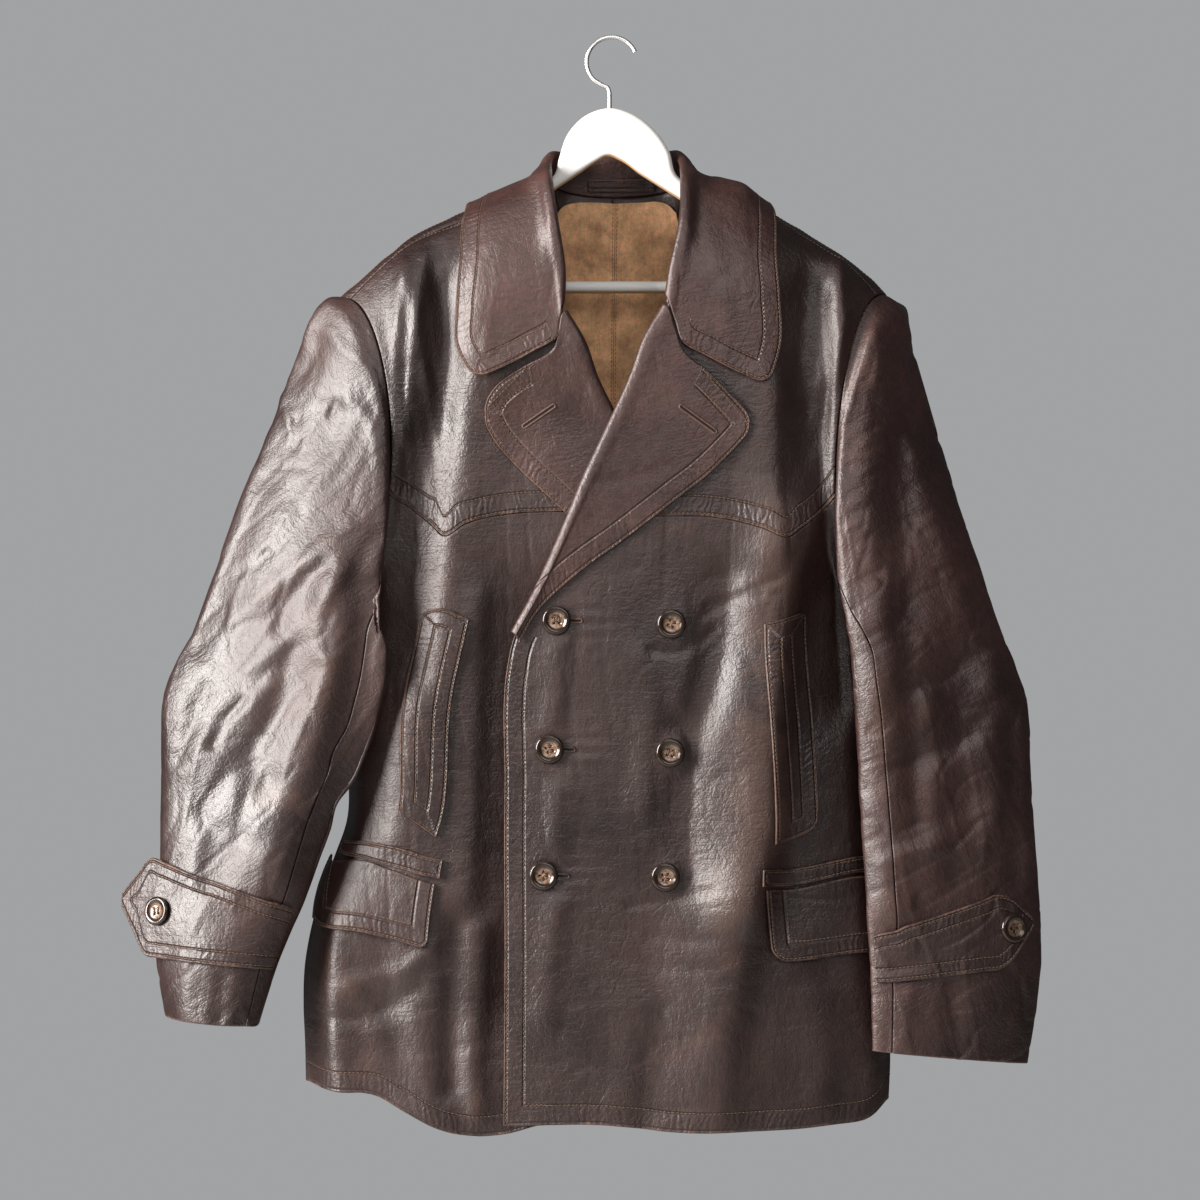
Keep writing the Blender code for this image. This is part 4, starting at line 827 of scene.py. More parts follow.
# Creases of the front as it hangs: route, width to its left and right, and height, all in millimetres
CHEST_CREASES = [
    ([(-128, -170), (-136, -220), (-144, -289), (-150, -358), (-156, -418), (-163, -487), (-168, -545)], 34, 17,
     -10.5),
    ([(-112, -310), (-114, -375), (-120, -452), (-132, -521)], 24, 24, 3.5),
    ([(-179, -196), (-184, -246), (-186, -298), (-187, -341)], 6, 7, 3.0),
    ([(-162, -190), (-168, -246), (-173, -298), (-178, -349)], 5, 6, 2.5),
    ([(-144, -427), (-158, -495), (-170, -564), (-179, -624), (-184, -685)], 20, 18, 4.5),
    ([(-115, -487), (-117, -573), (-120, -659), (-122, -736)], 13, 11, 2.6),
    ([(-45, -521), (-48, -573), (-53, -603)], 13, 10, 2.4),
    ([(-45, -650), (-46, -697)], 13, 10, 2.2),
    ([(-46, -749), (-53, -796), (-58, -844)], 14, 12, 3.0),
    ([(67, -531), (57, -573)], 9, 9, 1.6),
    ([(24, -538), (33, -586), (29, -659)], 16, 12, 2.0),
    ([(169, -418), (151, -478), (141, -556), (136, -624), (132, -693), (120, -745)], 36, 15, 14.0),
    ([(98, -470), (92, -530), (82, -573), (69, -603), (64, -650), (64, -720)], 24, 14, -5.5),
    ([(117, -745), (107, -796), (96, -857), (89, -925)], 42, 18, 7.0),
    ([(24, -831), (15, -882), (12, -934)], 18, 14, 2.6),
    ([(15, -748), (46, -743), (84, -735)], 4, 5, -1.7),
    ([(31, -774), (67, -777), (106, -771)], 4, 4, -1.2),
    ([(-45, -771), (24, -798), (93, -801)], 5, 5, -1.1),
    ([(76, -501), (101, -490), (129, -482)], 3.4, 3.4, -1.3),
    ([(81, -492), (110, -482), (143, -468)], 3.4, 3.4, -1.2),
    ([(33, -530), (55, -531), (76, -523), (88, -511)], 4.5, 4, -1.6),
    ([(141, -302), (139, -349), (138, -401), (141, -439)], 24, 13, 5.0),
    ([(178, -229), (182, -298), (186, -358), (188, -409), (191, -487), (197, -573)], 34, 10, -10.0),
    ([(196, -196), (198, -246), (196, -298), (198, -336)], 7, 7, 3.0),
    ([(-112, -771), (-114, -831), (-117, -882), (-115, -925)], 11, 11, 4.0),
    ([(-134, -766), (-137, -831), (-138, -904)], 12, 10, -4.0),
    ([(-155, -786), (-182, -805), (-224, -817)], 9, 8, 2.6),
    ([(-165, -818), (-200, -839), (-243, -845)], 7, 9, -2.0),
    ([(-200, -857), (-206, -908)], 16, 14, 2.5),
    ([(-236, -770), (-238, -850), (-240, -930)], 14, 40, 8.0),
    ([(179, -831), (184, -917)], 18, 16, 2.5),
    ([(-10, -387), (21, -381), (48, -372)], 4, 4, -1.0),
    ([(-96, -181), (-103, -229), (-108, -272)], 7, 9, 0.9),
    ([(-62, -186), (-72, -255)], 9, 9, -0.8),
    ([(80, -169), (95, -229), (100, -272)], 9, 9, 0.9),
]

# The under front sinks away behind the edge of the top one
UNDER_CREASES = [([(-62, -470), (-72, -520), (-80, -580), (-84, -660), (-84, -740), (-86, -830)], 30, 40, -8.5)]

# The back's creases, where nothing is seen of it, lie as they do on the front
BACK_CREASES = [
    ([(-122, -194), (-129, -315), (-139, -452)], 20, 16, -4.0),
    ([(124, -194), (131, -315), (143, -452)], 16, 20, -4.0),
    ([(-79, -229), (-86, -418), (-98, -659), (-103, -917)], 22, 26, 4.5),
    ([(81, -229), (89, -418), (101, -659), (112, -917)], 26, 22, 4.5),
    ([(-23, -624), (-29, -745), (-33, -917)], 16, 18, -3.5),
    ([(33, -573), (40, -745), (45, -925)], 18, 16, -3.5),
    ([(-165, -487), (-174, -659), (-182, -874)], 18, 20, 4.0),
    ([(162, -487), (172, -659), (181, -874)], 20, 18, 4.0),
    ([(-122, -452), (-62, -487), (-10, -490)], 9, 10, -2.0),
    ([(127, -465), (76, -495), (15, -497)], 10, 9, -2.0),
    ([(-157, -375), (-114, -418), (-79, -435)], 8, 8, 2.2),
    ([(162, -375), (119, -418), (80, -439)], 8, 8, 2.2),
]
BUTTONHOLE_PULLS = [(-30, -504), (-32, -614), (-36, -722)]
FRONT_BUTTONS = [(-49, -502), (-53, -614), (-58, -722), (51, -507), (50, -617), (46, -723)]


def front_relief(points, normals):
    """Relief of the front: its creases, thin cross creases, and pulls beside the buttonholes."""
    high = ramp(points[..., 2], -0.80, -0.56)
    towards = ramp(-normals[..., 1], 0.15, 0.55)
    across = crinkle(points, (13, 13, 62), 31) * (0.25 + 0.75 * (1 - high))
    down = crinkle(points, (60, 60, 12), 47) * (0.35 + 0.65 * high)
    pulls = np.zeros(points.shape[:-1])
    for x, z in BUTTONHOLE_PULLS:
        right, up = points[..., 0] - x * MM, points[..., 2] - z * MM
        pulls += np.exp(-((right / 0.026) ** 2 + (up / 0.016) ** 2)) * np.sin(up * 2 * math.pi / 0.012)
    total = 0.8 * soft_lumps(points) - 0.0006 * across - 0.0006 * down + 0.0007 * pulls
    return (total + creased(points, CHEST_CREASES) * towards) * calm(points, FRONT_BUTTONS)


def under_relief(points, normals):
    """Relief of the under front and of what is sewn on it."""
    fade = ramp(-points[..., 2], 0.42, 0.50) * ramp(points[..., 2], -0.93, -0.83)
    return front_relief(points, normals) + creased(points, UNDER_CREASES) * fade


def lying_relief(points, normals):
    """Relief of what lies over the front: it rides over the ridges and bridges the troughs."""
    total = front_relief(points, normals)
    return np.where(total > 0, total, 0.35 * total)


def back_relief(points, normals):
    away = ramp(normals[..., 1], 0.15, 0.55)
    total = 0.8 * soft_lumps(points) - 0.0006 * crinkle(points, (16, 16, 40), 71)
    return total + creased(points, BACK_CREASES) * away


def side_grid(name, bottom, top, start, end, facing, under=False):
    """Coarse outer and inner grids of a body panel, as its solid has them."""
    edges = [to_angles(edge * MM, facing) for edge in (bottom, top, start, end)]
    angles = coons(*edges)
    outer = trimmed(surface(angles, under))
    return outer, outer - surface_normals(angles, under) * LEATHER


for name, hem, side_seam, neckline, neck, point, hole in (
    ("back_right", HEM_BACK_RIGHT, SIDE_SEAM_RIGHT, BACK_NECK_RIGHT, NECK_RIGHT, SHOULDER_RIGHT, ARMHOLE_RIGHT),
    ("back_left", HEM_BACK_LEFT, SIDE_SEAM_LEFT, BACK_NECK_LEFT, NECK_LEFT, SHOULDER_LEFT, ARMHOLE_LEFT),
):
    up_the_side = np.concatenate([smooth_through(side_seam, 13), armhole(hole, ARMHOLE_ANGLES_BACK, -1)[1:]])
    up_the_middle = chain((BACK_SEAM[:3], 13), (BACK_SEAM[2:], 9))
    top = np.concatenate([smooth_through(neckline[::-1], NECKLINE_COUNT), shoulder(neck, point, 8)[1:]])
    grids = side_grid(name, smooth_through(hem, len(top) - 1), top, up_the_middle, up_the_side, -1)
    rows = [("bottom", INNER_ROW, 0, 1), ("start", EDGE_ROW, 0, 1)]
    cloth(name, *grids, LEATHER, EDGED, back_relief, rows, on=HOLD, worn=("bottom",), still=("top", "end"))

# Fronts and yokes
# Cowhide of the backs' thickness. The left front lies on top of the right one, and pointed yokes above both are
# lapped over them and sewn with two rows.

# Angles round the armholes, with the yoke's seam between the two stretches
YOKE_SEAM_ANGLE = 118
ARMHOLE_ANGLES_YOKE = [YOKE_SEAM_ANGLE * k / 12 for k in range(13)]
ARMHOLE_ANGLES_FRONT = [YOKE_SEAM_ANGLE, 143, 157, 169, 180]

# Yoke seams, from the roll line to the armhole
YOKE_SEAM_RIGHT = [(36, -413), (-45, -411), (-96, -414), (-124, -421), (-144, -432)]
YOKE_SEAM_RIGHT_END = [(-144, -432), (-160, -418), (-176, -406)]
YOKE_SEAM_LEFT = [(-34, -414), (46, -415), (89, -416), (128, -425), (150, -433)]
YOKE_SEAM_LEFT_END = [(150, -433), (164, -424), (180, -411)]

# Roll lines of the lapels, from the gorge to where the front edge turns
ROLL_RIGHT = [(-42, -241), (-28, -264), (-14, -301), (1, -332), (20, -376), (36, -413)]
ROLL_RIGHT_LOW = [(36, -413), (63, -480), (84, -517)]
ROLL_LEFT = [(47, -236), (31, -263), (20, -293), (0, -338), (-20, -380), (-34, -414)]
ROLL_LEFT_LOW = [(-34, -414), (-63, -480), (-83, -516)]

# Necklines of the front, from the roll line to the neck point
NECKLINE_RIGHT = [(-42, -241), (-50, -212), (-57, -165), (-60, -118.5)]
NECKLINE_LEFT = [(47, -236), (57, -210), (65, -165), (68, -120)]

# Front edges and hems
EDGE_LEFT = [(-93, -936), (-92, -795), (-92, -650), (-88, -535), (-83, -516)]
EDGE_RIGHT = [(90, -932), (90, -795), (90, -650), (88, -540), (84, -517)]
HEM_LEFT = [(-93, -936), (3, -936), (48, -941), (123, -941), (191, -937), (228, -930), (240, -918)]
HEM_RIGHT = [
    (90, -932), (0, -934), (-68, -938), (-100, -946), (-138, -943), (-167, -932), (-200, -912), (-240, -908),
    (-266, -904),
]

# Steps of a roll line above and below the yoke's seam
ROLL_COUNT = 6
LOW_ROLL_COUNT = 3


def yoke_seam(seam, end, hole):
    return chain((seam, 8), (end + [tuple(armhole(hole, [YOKE_SEAM_ANGLE], 1)[0])], 4))


YOKED = leather_material("leather_yoke", pucker=0.26)

seams = {
    "right": yoke_seam(YOKE_SEAM_RIGHT, YOKE_SEAM_RIGHT_END, ARMHOLE_RIGHT),
    "left": yoke_seam(YOKE_SEAM_LEFT, YOKE_SEAM_LEFT_END, ARMHOLE_LEFT),
}
for name, seam, hem, edge, low_roll, side_seam, hole, under in (
    ("front_right", seams["right"], HEM_RIGHT, EDGE_RIGHT, ROLL_RIGHT_LOW, SIDE_SEAM_RIGHT, ARMHOLE_RIGHT, True),
    ("front_left", seams["left"], HEM_LEFT, EDGE_LEFT, ROLL_LEFT_LOW, SIDE_SEAM_LEFT, ARMHOLE_LEFT, False),
):
    up_the_edge = chain((edge, 14), (low_roll[::-1], LOW_ROLL_COUNT))
    up_the_side = np.concatenate([smooth_through(side_seam, 13), armhole(hole, ARMHOLE_ANGLES_FRONT[::-1], 1)[1:]])
    grids = side_grid(name, smooth_through(hem, 12), seam, up_the_edge, up_the_side, 1, under)
    rows = [("start", EDGE_ROW, 0, 0.8), ("start", INNER_ROW, 0, 0.8), ("bottom", INNER_ROW, 0, 1)]
    relief = under_relief if under else front_relief
    cloth(name, *grids, LEATHER, EDGED, relief, rows, on=HOLD, fringe=0.0003, worn=("bottom", "start"),
          still=("end", "start"))

for name, seam, roll, neckline, neck, point, hole, under in (
    ("yoke_right", seams["right"], ROLL_RIGHT, NECKLINE_RIGHT, NECK_RIGHT, SHOULDER_RIGHT, ARMHOLE_RIGHT, True),
    ("yoke_left", seams["left"], ROLL_LEFT, NECKLINE_LEFT, NECK_LEFT, SHOULDER_LEFT, ARMHOLE_LEFT, False),
):
    up_the_roll = chain((roll[::-1], ROLL_COUNT), (neckline, NECKLINE_COUNT))
    up_the_hole = armhole(hole, ARMHOLE_ANGLES_YOKE[::-1], 1)
    grids = side_grid(name, seam, shoulder(neck, point, 12), up_the_roll, up_the_hole, 1, under)
    rows = [(edge, far, 0, 1) for edge in ("bottom", "top") for far in (EDGE_ROW, INNER_ROW)]
    cloth(name, *grids, LEATHER, YOKED, front_relief, rows, on=HOLD, fringe=0.0005, worn=("bottom",),
          still=("top", "end", "start"))

# Lapels
# Doubled cowhide, 2.4 mm thick, its dye painted twice as light: painted light for the sheen it catches. Each turns
# over at its roll line and lies on its own front, edge stitched and sewn again 15 mm in.

COLLAR_LEATHER = 0.0024
LAY_GAP = 0.0009
LAPEL_ROW = 0.0155
COLLAR_ROW = 0.0165

# Turned edges of collar and lapels
ROLL_RADIUS = 0.0032
ROLL_STEPS = 4

# Lapels: top edge from the roll line past the notch to the tip, and outer edge down to the roll's end
LAPEL_TOP_RIGHT = [(-42, -241), (-50, -272)]
LAPEL_NOTCH_RIGHT = [(-50, -272), (-105, -310), (-114, -326)]
LAPEL_EDGE_RIGHT = [(-114, -326), (-97, -356), (-63, -390), (-36, -416), (10, -452), (50, -488), (76, -519)]
LAPEL_TOP_LEFT = [(47, -236), (61, -274)]
LAPEL_NOTCH_LEFT = [(61, -274), (89, -298), (124, -336)]
LAPEL_EDGE_LEFT = [(124, -336), (89, -374), (50, -405), (10, -436), (-31, -466), (-64, -498), (-79, -524)]


def turned_edge(line, normals, inward, start_height):
    """Rows that turn a sheet over from the body's wall to its outside, round a line on the body."""
    rows = []
    for k in range(ROLL_STEPS + 1):
        turn = math.pi * k / ROLL_STEPS
        height = start_height + ROLL_RADIUS * (1 - math.cos(turn))
        rows.append(line + normals * height - inward * ROLL_RADIUS * math.sin(turn))
    return rows


# Painted light: the collar's and lapels' dye is painted twice as light (tint 2.0) for the sheen they catch
COLLARED = leather_material("leather_collar", second=COLLAR_ROW, pucker=0.15, tint=2.0, lean=12.0)


def coarse_sheet(middle, thickness, first_normals=None):
    """Outer and inner grids of a wall round a grid of middle points, as its solid has them."""
    normals = grid_normals(middle)
    if first_normals is not None:
        normals[0] = first_normals * np.sign(np.sum(normals[0] * first_normals, axis=-1, keepdims=True))
    if np.sum(normals[-1] * np.array([0, -1, 0])) < 0:
        normals = -normals
    return middle + normals * thickness / 2, middle - normals * thickness / 2


def lapel_grids(roll, low_roll, top, notch, edge, under):
    down_the_roll = chain((roll, ROLL_COUNT), (low_roll, LOW_ROLL_COUNT))
    down_the_edge = smooth_through(edge, ROLL_COUNT + LOW_ROLL_COUNT)
    low_end = smooth_through([low_roll[-1], edge[-1]], 5)
    grid = coons(down_the_roll, down_the_edge, chain((top, 2), (notch, 3)), low_end)
    angles = to_angles(grid * MM)
    normals = surface_normals(angles, under)
    middle_height = -LEATHER / 2
    top_height, low_height = middle_height + 2 * ROLL_RADIUS, LAY_GAP + COLLAR_LEATHER / 2
    share = np.linspace(0, 1, len(grid))[:, None] * np.ones(grid.shape[1])
    face = surface(angles, under) + normals * (top_height + (low_height - top_height) * share)[..., None]
    line = surface(angles[0], under)
    inwards = unit(np.cross(unit(np.gradient(line, axis=0)), normals[0]))
    inwards *= np.sign(np.sum(inwards * (face[1] - face[0]), axis=-1, keepdims=True))
    middle = trimmed(np.concatenate([turned_edge(line, normals[0], inwards, middle_height)[:-1], face]))
    return coarse_sheet(middle, COLLAR_LEATHER, normals[0])


for name, *lines, under in (
    ("lapel_right", ROLL_RIGHT, ROLL_RIGHT_LOW, LAPEL_TOP_RIGHT, LAPEL_NOTCH_RIGHT, LAPEL_EDGE_RIGHT, True),
    ("lapel_left", ROLL_LEFT, ROLL_LEFT_LOW, LAPEL_TOP_LEFT, LAPEL_NOTCH_LEFT, LAPEL_EDGE_LEFT, False),
):
    rows = [("top", EDGE_ROW, 0, 1), ("top", LAPEL_ROW, 0, 1), ("start", EDGE_ROW, 0.55, 1),
            ("start", LAPEL_ROW, 0.60, 1)]
    cloth(name, *lapel_grids(*lines, under), COLLAR_LEATHER, COLLARED, lying_relief, rows, "folded",
          [name.replace("lapel", "yoke")], STEP * 0.75, 0.0004, ("top", ("start", 0.5, 1)),
          ("bottom",), [("start", "top", 0.016)])

# Collar
# Stand and fall in one folded sheet of the lapels' doubled leather, sewn to the neckline, with the same two rows of
# stitches round its edge.

COLLAR_LAY = 0.0032

# Collar: fold line and outer edge; the sign after a height says front (1), shoulder (0) or back (-1)
COLLAR_FOLD = [
    (-42, -235, 1), (-42, -207, 1), (-48, -163, 1), (-53, -125, 1), (-54, -104, 0), (-40, -101, -1),
    (0, -102, -1), (42, -103, -1), (60, -106, 0), (61, -128, 1), (59, -163, 1), (51, -207, 1), (47, -230, 1),
]
COLLAR_EDGE = [
    (-117, -299, 1), (-131, -272, 1), (-132, -240, 1), (-130, -196, 1), (-122, -147, 0), (-92, -184, -1),
    (0, -196, -1), (98, -184, -1), (135, -148, 0), (140, -192, 1), (143, -230, 1), (143, -272, 1),
    (133, -304, 1),
]
COLLAR_COUNTS = [2, 1, 1, 2, 3, 3, 3, 3, 2, 1, 1, 2]
COLLAR_ROWS = 6
COLLAR_END_RIGHT = ([(-42, -234), (-48, -264)], [(-48, -264), (-83, -284), (-117, -299)])
COLLAR_END_LEFT = ([(47, -230), (60, -267)], [(60, -267), (98, -288), (133, -304)])


def clear_of_body(points, height):
    """Points moved out, where they must be, to stand at least this high over the body."""
    points = points.copy()
    for _ in range(3):
        facing = np.where(points[..., 1] <= 0, 1.0, -1.0)
        angles = to_angles(points[..., [0, 2]], facing)
        normal = surface_normals(angles)
        short = height - np.sum((points - surface(angles)) * normal, axis=-1)
        points += normal * np.clip(short, 0, None)[..., None]
    return points


def laid_on(angles, height, under=False):
    """Points at a height over the body's outer face."""
    return surface(angles, under) + surface_normals(angles, under) * np.asarray(height)[..., None]


def signed_angles(route, counts):
    """A route of (x, z, facing) as angles, evenly cut between its points."""
    flat = np.array([point[:2] for point in route], float)
    facing = np.array([point[2] for point in route], float)
    angles = to_angles(flat * MM, facing)
    angles[facing == 0, 1] = 0
    pieces = []
    reach = np.arange(len(route), dtype=float)
    slope = np.gradient(angles, reach, axis=0)
    for k, count in enumerate(counts):
        t = np.linspace(0, 1, count + 1)[:, None]
        piece = course(angles, slope, k, t)
        pieces.append(piece if k == 0 else piece[1:])
    return np.concatenate(pieces)


quarters = [
    to_angles(smooth_through(line, NECKLINE_COUNT) * MM, facing)
    for line, facing in ((NECKLINE_RIGHT, 1), (BACK_NECK_RIGHT, -1), (BACK_NECK_LEFT[::-1], -1),
                         (NECKLINE_LEFT[::-1], 1))
]
seam_angles = np.concatenate([quarters[0]] + [quarter[1:] for quarter in quarters[1:]])
fold, edge = signed_angles(COLLAR_FOLD, COLLAR_COUNTS), signed_angles(COLLAR_EDGE, COLLAR_COUNTS)
middle_height = -LEATHER / 2
top_height, low_height = middle_height + 2 * ROLL_RADIUS, COLLAR_LAY + COLLAR_LEATHER / 2
fold_normals, fold_line = surface_normals(fold), surface(fold)
seam_line = surface(seam_angles) + surface_normals(seam_angles) * middle_height
seam_line += unit(fold_line - seam_line) * 2 * SEAM_GAP
ends = []
for route in (COLLAR_END_RIGHT, COLLAR_END_LEFT):
    angles = to_angles(chain((route[0], 2), (route[1], COLLAR_ROWS - 2)) * MM)
    ends.append(laid_on(angles, np.linspace(top_height, low_height, COLLAR_ROWS + 1)))
fold_top, outer_edge = fold_line + fold_normals * top_height, laid_on(edge, np.full(len(edge), low_height))
ends[0][0], ends[0][-1] = fold_top[0], outer_edge[0]
ends[1][0], ends[1][-1] = fold_top[-1], outer_edge[-1]
fall = coons(fold_top, outer_edge, ends[0], ends[1])
fall[1:] = clear_of_body(fall[1:], low_height)
stand_high = fold_line + fold_normals * middle_height
stand = [seam_line * (1 - t) + stand_high * t for t in (0, 0.5)]
turned = turned_edge(fold_line, fold_normals, unit(fall[1] - fall[0]), middle_height)[:-1]
middle = trimmed(np.concatenate([stand, turned, fall]))
normals = grid_normals(middle)
seam_normals = surface_normals(seam_angles)
normals[0] = seam_normals * np.sign(np.sum(normals[0] * seam_normals, axis=-1, keepdims=True))
if np.sum(normals[-1, 0] * np.array([0, -1, 0])) < 0:
    normals = -normals
rows = [("top", EDGE_ROW, 0, 1), ("top", COLLAR_ROW, 0, 1), ("start", EDGE_ROW, 0.40, 1),
        ("start", COLLAR_ROW, 0.45, 1), ("end", EDGE_ROW, 0.40, 1), ("end", COLLAR_ROW, 0.45, 1)]
half = normals * COLLAR_LEATHER / 2
cloth("collar", middle + half, middle - half, COLLAR_LEATHER, COLLARED, lying_relief, rows, "folded",
      ["yoke_left", "yoke_right", "back_left", "back_right"], STEP * 0.75, 0.0004,
      ("top", ("start", 0.45, 1), ("end", 0.45, 1)), ("bottom",), [("start", "top", 0.013), ("end", "top", 0.013)])

# Lining and hanger loop
# Napped tan cotton hangs inside the back where the open neck shows it, seamed down the middle. A doubled leather
# strip is sewn across the collar's stand above it.

LINING = 0.0012
LINING_LAY = 0.0025

# Edges of the lining, and the loop's place
LINING_TOP_RIGHT = [(-53, -150), (-42, -140), (-25, -138), (3, -139)]
LINING_TOP_LEFT = [(3, -139), (28, -138), (48, -138), (60, -147)]
LINING_BOTTOM_RIGHT = [(-96, -420), (0, -420)]
LINING_BOTTOM_LEFT = [(0, -420), (98, -420)]
LOOP_ENDS = (-21, 38)
LOOP_Z = -0.124
LOOP_HEIGHT = 0.011
LOOP_STANDOFF = 0.0012

STRAPPED = leather_material("leather_strap", first=0.003, second=0.012, pucker=0.14, tint=1.25)

LINED, tree, shader, place = new_material("lining_nap")
nap = add(tree, "TexNoise", Vector=place, Scale=420.0, Detail=4.0, Roughness=0.7)
cloud = noise(tree, place, 30.0, detail=7.0, roughness=0.7)
blotch = ranged(tree, cloud, 0.36, 0.64)
ribbed = add(tree, "Mapping", Vector=place, Scale=(900.0, 1.0, 60.0))
rib = noise(tree, ribbed.outputs[0], 1.0)
tone = mixed(tree, blotch, (0.22, 0.110, 0.050, 1), (0.54, 0.30, 0.145, 1))
speckle = add(tree, "MixRGB", {"blend_type": "OVERLAY"}, Fac=0.55, Color1=tone,
              Color2=nap.outputs["Color"])
weft = add(tree, "MixRGB", {"blend_type": "MULTIPLY"}, Fac=0.35, Color1=speckle.outputs[0],
           Color2=rib)
# Painted light: the lining's colour is lifted 2.3 times to make up for the shade inside the coat
lining_painted_light = add(tree, "HueSaturation", Saturation=0.95, Value=2.3, Color=weft.outputs[0])
tree.links.new(lining_painted_light.outputs[0], shader.inputs["Base Color"])
shader.inputs["Roughness"].default_value = 0.95
shader.inputs["Sheen Weight"].default_value = 0.35
shader.inputs["Sheen Roughness"].default_value = 0.5
height = maths(tree, "ADD", nap.outputs["Fac"], rib)
rough = add(tree, "Bump", Strength=0.6, Distance=0.0008, Height=height)
tree.links.new(rough.outputs["Normal"], shader.inputs["Normal"])


def lining_relief(points, normals):
    tension = np.exp(-((points[..., 0] - 0.003) / 0.006) ** 2)
    drape = 0.0022 * lattice(points, (26, 26, 9), 97)
    return (drape + 0.0007 * lattice(points, (40, 40, 22), 91)) * (1 - tension) - 0.0009 * tension


depth = LEATHER + LINING_LAY + LINING / 2
for name, top, bottom in (
    ("lining_right", LINING_TOP_RIGHT, LINING_BOTTOM_RIGHT), ("lining_left", LINING_TOP_LEFT, LINING_BOTTOM_LEFT),
):
    start, end = ([bottom[k], top[k]] for k in (0, -1))
    grid = coons(*(smooth_through(edge, n) for edge, n in ((bottom, 5), (top, 5), (start, 8), (end, 8))))
    middle = trimmed(laid_on(to_angles(grid * MM, -1), np.full(grid.shape[:2], -depth)))
    grids = coarse_sheet(middle, LINING)
    seam_side = "end" if name == "lining_right" else "start"
    cloth(name, *grids, LINING, LINED, lining_relief, [(seam_side, 0.0016, 0, 1)],
          on=[name.replace("lining", "back")])

back = slice(NECKLINE_COUNT + 1, -NECKLINE_COUNT - 1)
x = np.linspace(*LOOP_ENDS, 9) * MM
low, high = (
    np.stack([np.interp(x, line[back, 0], line[back, k]) for k in range(3)], axis=1)
    for line in (seam_line, stand_high)
)
bow = COLLAR_LEATHER / 2 + LAY_GAP + LEATHER / 2 + LOOP_STANDOFF * np.sin(np.linspace(0, math.pi, 9))
rows = []
for z in (LOOP_Z - LOOP_HEIGHT / 2, LOOP_Z, LOOP_Z + LOOP_HEIGHT / 2):
    share = ((z - low[:, 2]) / (high[:, 2] - low[:, 2]))[:, None]
    row = low * (1 - share) + high * share
    row[:, 1] -= bow
    rows.append(row)
cloth("hanger_loop", *coarse_sheet(np.array(rows), LEATHER), LEATHER, STRAPPED, soft_lumps,
      [("top", 0.0024, 0, 1), ("bottom", 0.0024, 0, 1)], "stretched", ["collar"], STEP * 0.5)

# Sleeves
# Two-piece sleeves set into the armholes. They hang in front of the body's sides, with long soft folds from armpit
# to elbow and many fine cross creases.

# Sleeve rings: outer, inner, front and back point of each, as (x, z, y); the first is the armhole seam
SLEEVE_RIGHT = [
    [(-262, -246, 2), (-216, -497, -36), (-198, -362, -54), (-236, -368, 30)],
    [(-292, -325, 4), (-200, -511, -58), (-228, -412, -56), (-254, -420, 18)],
    [(-320, -390, 4), (-191, -524, -65), (-262, -456, -54), (-256, -462, 4)],
    [(-345, -462, 2), (-193, -562, -62), (-279, -510, -54), (-260, -514, -5)],
    [(-364, -515, 2), (-204, -604, -60), (-294, -560, -53), (-274, -560, -4)],
    [(-388, -566, -2), (-220, -643, -56), (-313, -604, -55), (-296, -604, -2)],
    [(-390, -640, -8), (-240, -683, -52), (-323, -661, -58), (-308, -661, -1)],
    [(-392, -712, -14), (-260, -738, -50), (-332, -724, -63), (-320, -724, 0)],
    [(-394, -790, -22), (-285, -797, -46), (-343, -793, -72), (-336, -793, 5)],
    [(-385, -845, -25), (-302, -851, -45), (-345, -848, -75), (-341, -848, 6)],
]
SLEEVE_LEFT = [
    [(259, -260, 2), (207, -497, -34), (200, -366, -52), (230, -370, 28)],
    [(279, -325, 2), (202, -512, -55), (226, -415, -52), (246, -420, 12)],
    [(309, -428, 0), (204, -534, -60), (260, -480, -52), (252, -480, -8)],
    [(336, -511, -4), (209, -590, -58), (280, -551, -50), (265, -551, -12)],
    [(358, -570, -9), (211, -640, -56), (291, -605, -51), (277, -605, -14)],
    [(363, -640, -13), (214, -700, -55), (295, -670, -52), (282, -670, -16)],
    [(367, -714, -15), (218, -760, -54), (299, -737, -52), (286, -737, -17)],
    [(371, -796, -17), (221, -820, -53), (302, -808, -53), (290, -808, -17)],
    [(359, -887, -19), (222, -873, -51), (296, -880, -53), (285, -880, -17)],
]
SLEEVE_ROWS = 20
SLEEVE_FIRST_PLACE = 0.018
SLEEVE_SEAMS = (143, 252)
SLEEVE_CLEARANCE = 0.0055
SLEEVE_CLEARANCE_PLACE = 0.045
SLEEVE_TURN = (0.6, 1.6)
SLEEVE_FOLDS_RIGHT = [
    ([(-232, -470), (-246, -560), (-269, -645), (-292, -735)], 11, 4.5),
    ([(-258, -480), (-290, -600), (-330, -720)], 13, -4.0),
    ([(-306, -363), (-268, -376)], 10, -4.0),
    ([(-384, -557), (-330, -590), (-290, -640)], 12, -4.0),
]
SLEEVE_FOLDS_LEFT = [
    ([(318, -470), (272, -520), (232, -560)], 11, 3.5),
    ([(352, -560), (300, -585), (246, -640)], 12, -3.5),
    ([(270, -330), (236, -400), (214, -470)], 13, -4.0),
    ([(352, -660), (290, -700), (240, -720)], 13, 3.0),
]


